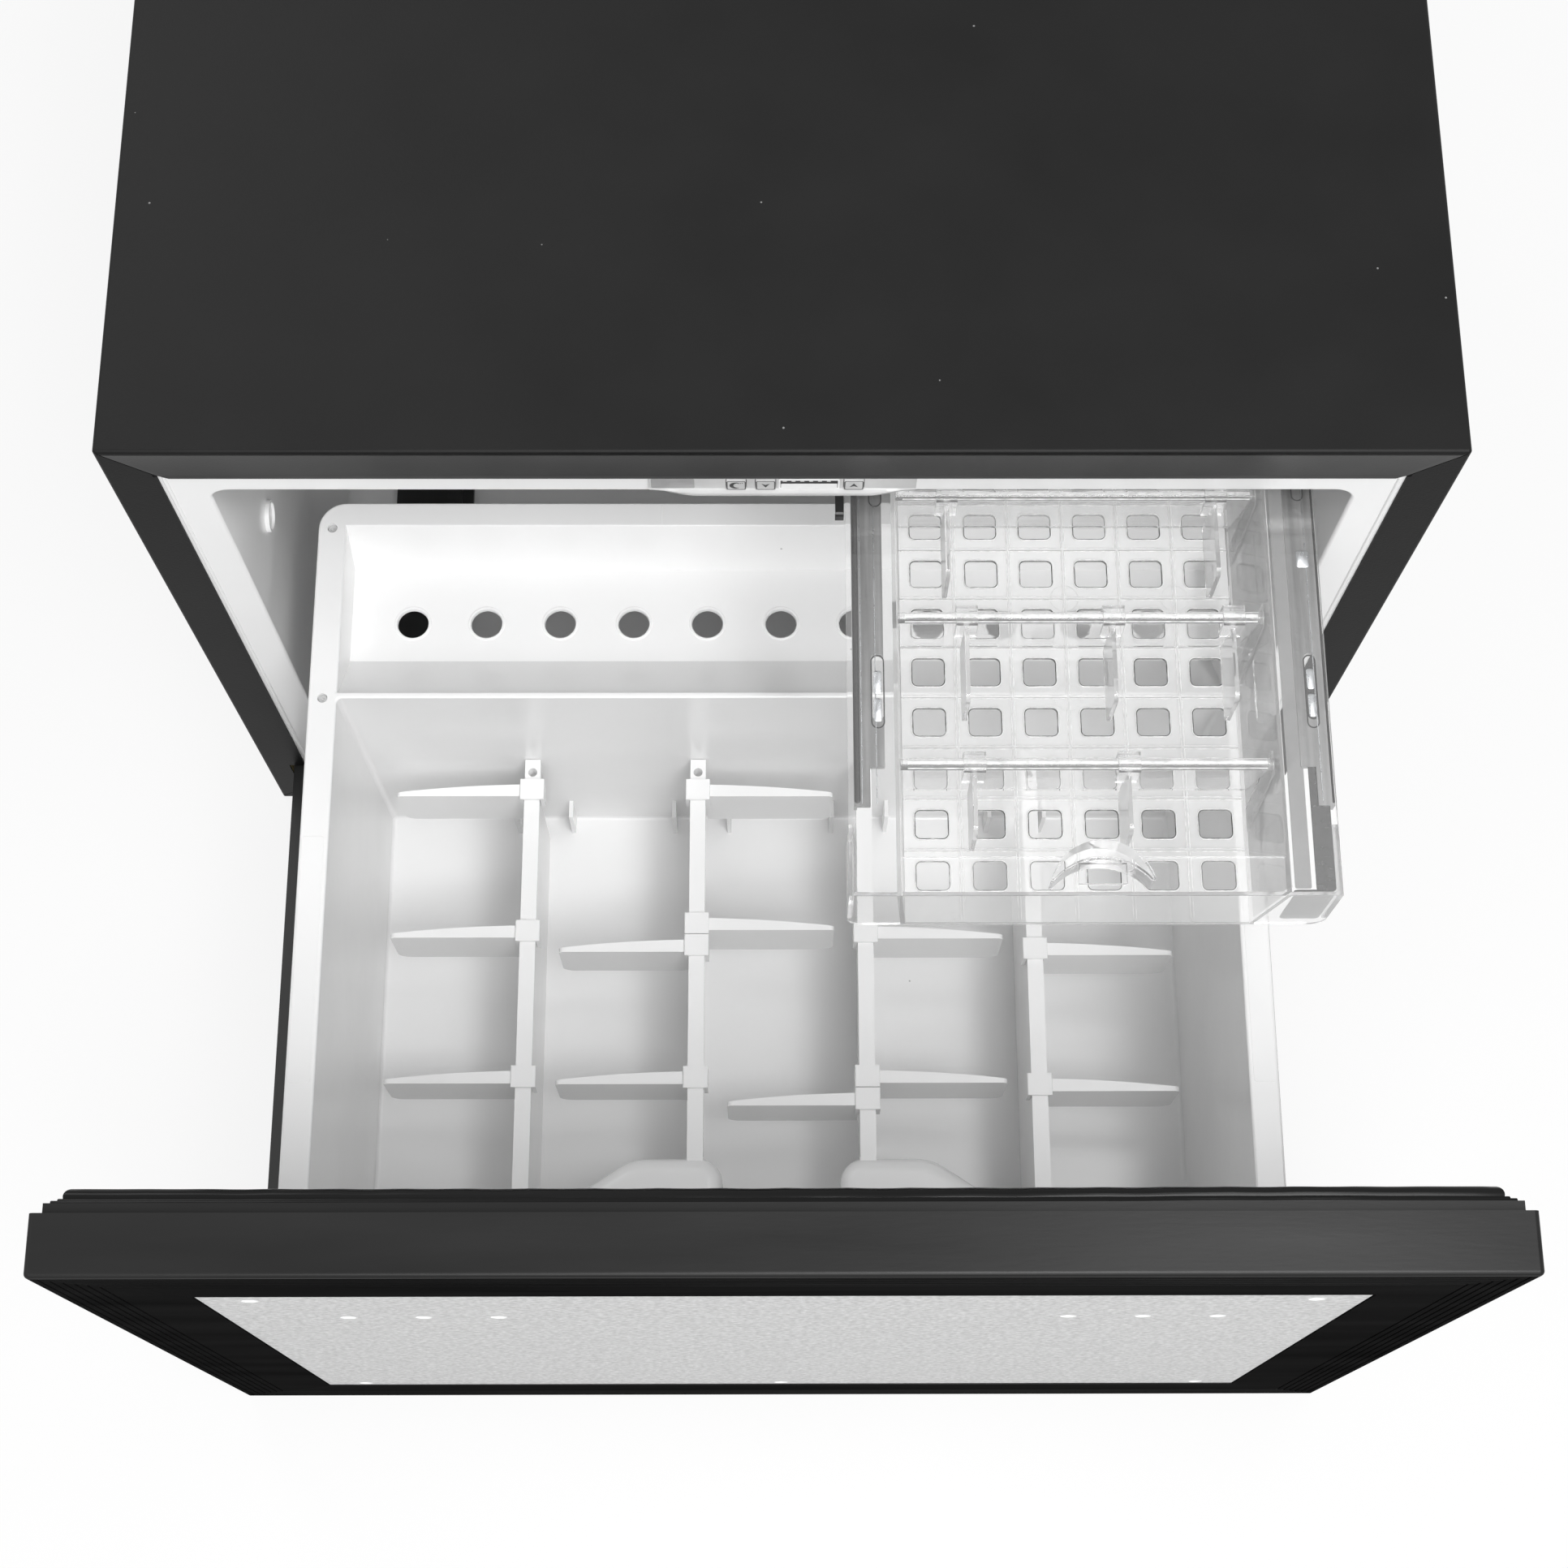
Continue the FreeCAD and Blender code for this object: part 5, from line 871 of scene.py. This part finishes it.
# White floor that glows a little to the eye, so that only a faint shadow is left on it
def makeFloor():
    look = {"half": 4.0, "glow": 0.86}
    half = look["half"]
    mesh = bpy.data.meshes.new("floor")
    corners = [(-half, -half, 0), (half, -half, 0), (half, half, 0), (-half, half, 0)]
    mesh.from_pydata(corners, [], [(0, 1, 2, 3)])
    floor = bpy.data.objects.new("floor", mesh)
    bpy.context.scene.collection.objects.link(floor)
    # uncoated paper sweep: even, dull white
    paper = surface("paperFloor", {"dark": "#f4f4f4", "light": "#f8f8f8", "patch": 300, "grain": 2,
                                   "height": 0.01, "rough": (0.8, 0.9)})
    tree = paper.node_tree
    output = next(node for node in tree.nodes if node.type == "OUTPUT_MATERIAL")
    shaded = output.inputs["Surface"].links[0].from_socket
    seen = eyeRays(tree)
    share = addNode(tree, "ShaderNodeMath", {"operation": "MULTIPLY", 1: look["glow"]}, {0: seen})
    glow = addNode(tree, "ShaderNodeEmission", {"Color": (1, 1, 1, 1), "Strength": 1.0})
    mixed = addNode(tree, "ShaderNodeMixShader", links={0: share.outputs[0], 1: shaded, 2: glow.outputs[0]})
    tree.links.new(mixed.outputs[0], output.inputs["Surface"])
    mesh.materials.append(paper)


makeFloor()


# White to the eye, and a dim even light on the object
def makeWorld():
    ambientLevel = 0.2
    world = bpy.data.worlds.new("whiteStudio")
    bpy.context.scene.world = world
    world.use_nodes = True
    tree = world.node_tree
    tree.nodes.clear()
    seen = eyeRays(tree)
    white = addNode(tree, "ShaderNodeBackground", {"Color": (1, 1, 1, 1), "Strength": 1.0})
    ambient = addNode(tree, "ShaderNodeBackground", {"Color": (1, 1, 1, 1), "Strength": ambientLevel})
    mixed = addNode(tree, "ShaderNodeMixShader", links={0: seen, 1: ambient.outputs[0], 2: white.outputs[0]})
    addNode(tree, "ShaderNodeOutputWorld", links={"Surface": mixed.outputs[0]})


makeWorld()


# Soft lamps: place, point looked at, side lengths in metres and watts
lamps = {
    "keyFront": ((0.45, -1.05, 2.2), (0.0, -0.37, 0.1), (0.75, 0.75), 19.5),
    "frontHigh": ((0.15, -1.65, 1.95), (0.0, -0.25, 0.15), (1.3, 0.8), 18.5),
    "overhead": ((0.55, -0.32, 2.25), (0.1, -0.42, 0.3), (0.6, 0.3), 5),
    "frontLow": ((0.2, -2.0, 1.2), (0.0, -0.3, 0.25), (1.4, 0.9), 6),
    "fillLeft": ((-1.5, -0.5, 1.6), (0.0, -0.3, 0.1), (1.0, 1.2), 2),
    "backLeft": ((-0.9, 0.9, 1.9), (-0.2, -0.1, 0.3), (0.7, 0.7), 5),
}
for lampName, (spot, target, sides, watts) in lamps.items():
    light = bpy.data.lights.new(lampName, "AREA")
    light.shape = "RECTANGLE"
    light.size, light.size_y = sides
    light.energy = watts
    lamp = bpy.data.objects.new(lampName, light)
    lamp.location = spot
    lamp.rotation_euler = (Vector(target) - Vector(spot)).to_track_quat("-Z", "Y").to_euler()
    bpy.context.scene.collection.objects.link(lamp)


# Camera solved from the picture: steeply down, close in front of the drawer
def makeCamera():
    look = {"place": (-5.6, -676.9, 1346.6), "pitch": 70.994, "yaw": 1.009, "roll": 0.903, "lens": 58.871}
    pitch, yaw, roll = (math.radians(look[key]) for key in ("pitch", "yaw", "roll"))
    ahead = Vector((math.sin(yaw) * math.cos(pitch), math.cos(yaw) * math.cos(pitch), -math.sin(pitch)))
    right = Vector((math.cos(yaw), -math.sin(yaw), 0))
    up = right.cross(ahead)
    side = right * math.cos(roll) + up * math.sin(roll)
    top = up * math.cos(roll) - right * math.sin(roll)
    lens = bpy.data.cameras.new("camera")
    lens.sensor_width = 36
    lens.lens = look["lens"]
    lens.clip_start = 0.01
    camera = bpy.data.objects.new("camera", lens)
    turn = Matrix((side, top, -ahead)).transposed().to_4x4()
    camera.matrix_world = Matrix.Translation(Vector(look["place"]) * mm) @ turn
    bpy.context.scene.collection.objects.link(camera)
    bpy.context.scene.camera = camera


makeCamera()
bpy.context.scene.view_settings.view_transform = "Standard"
print("stage: floor, lamps and camera")
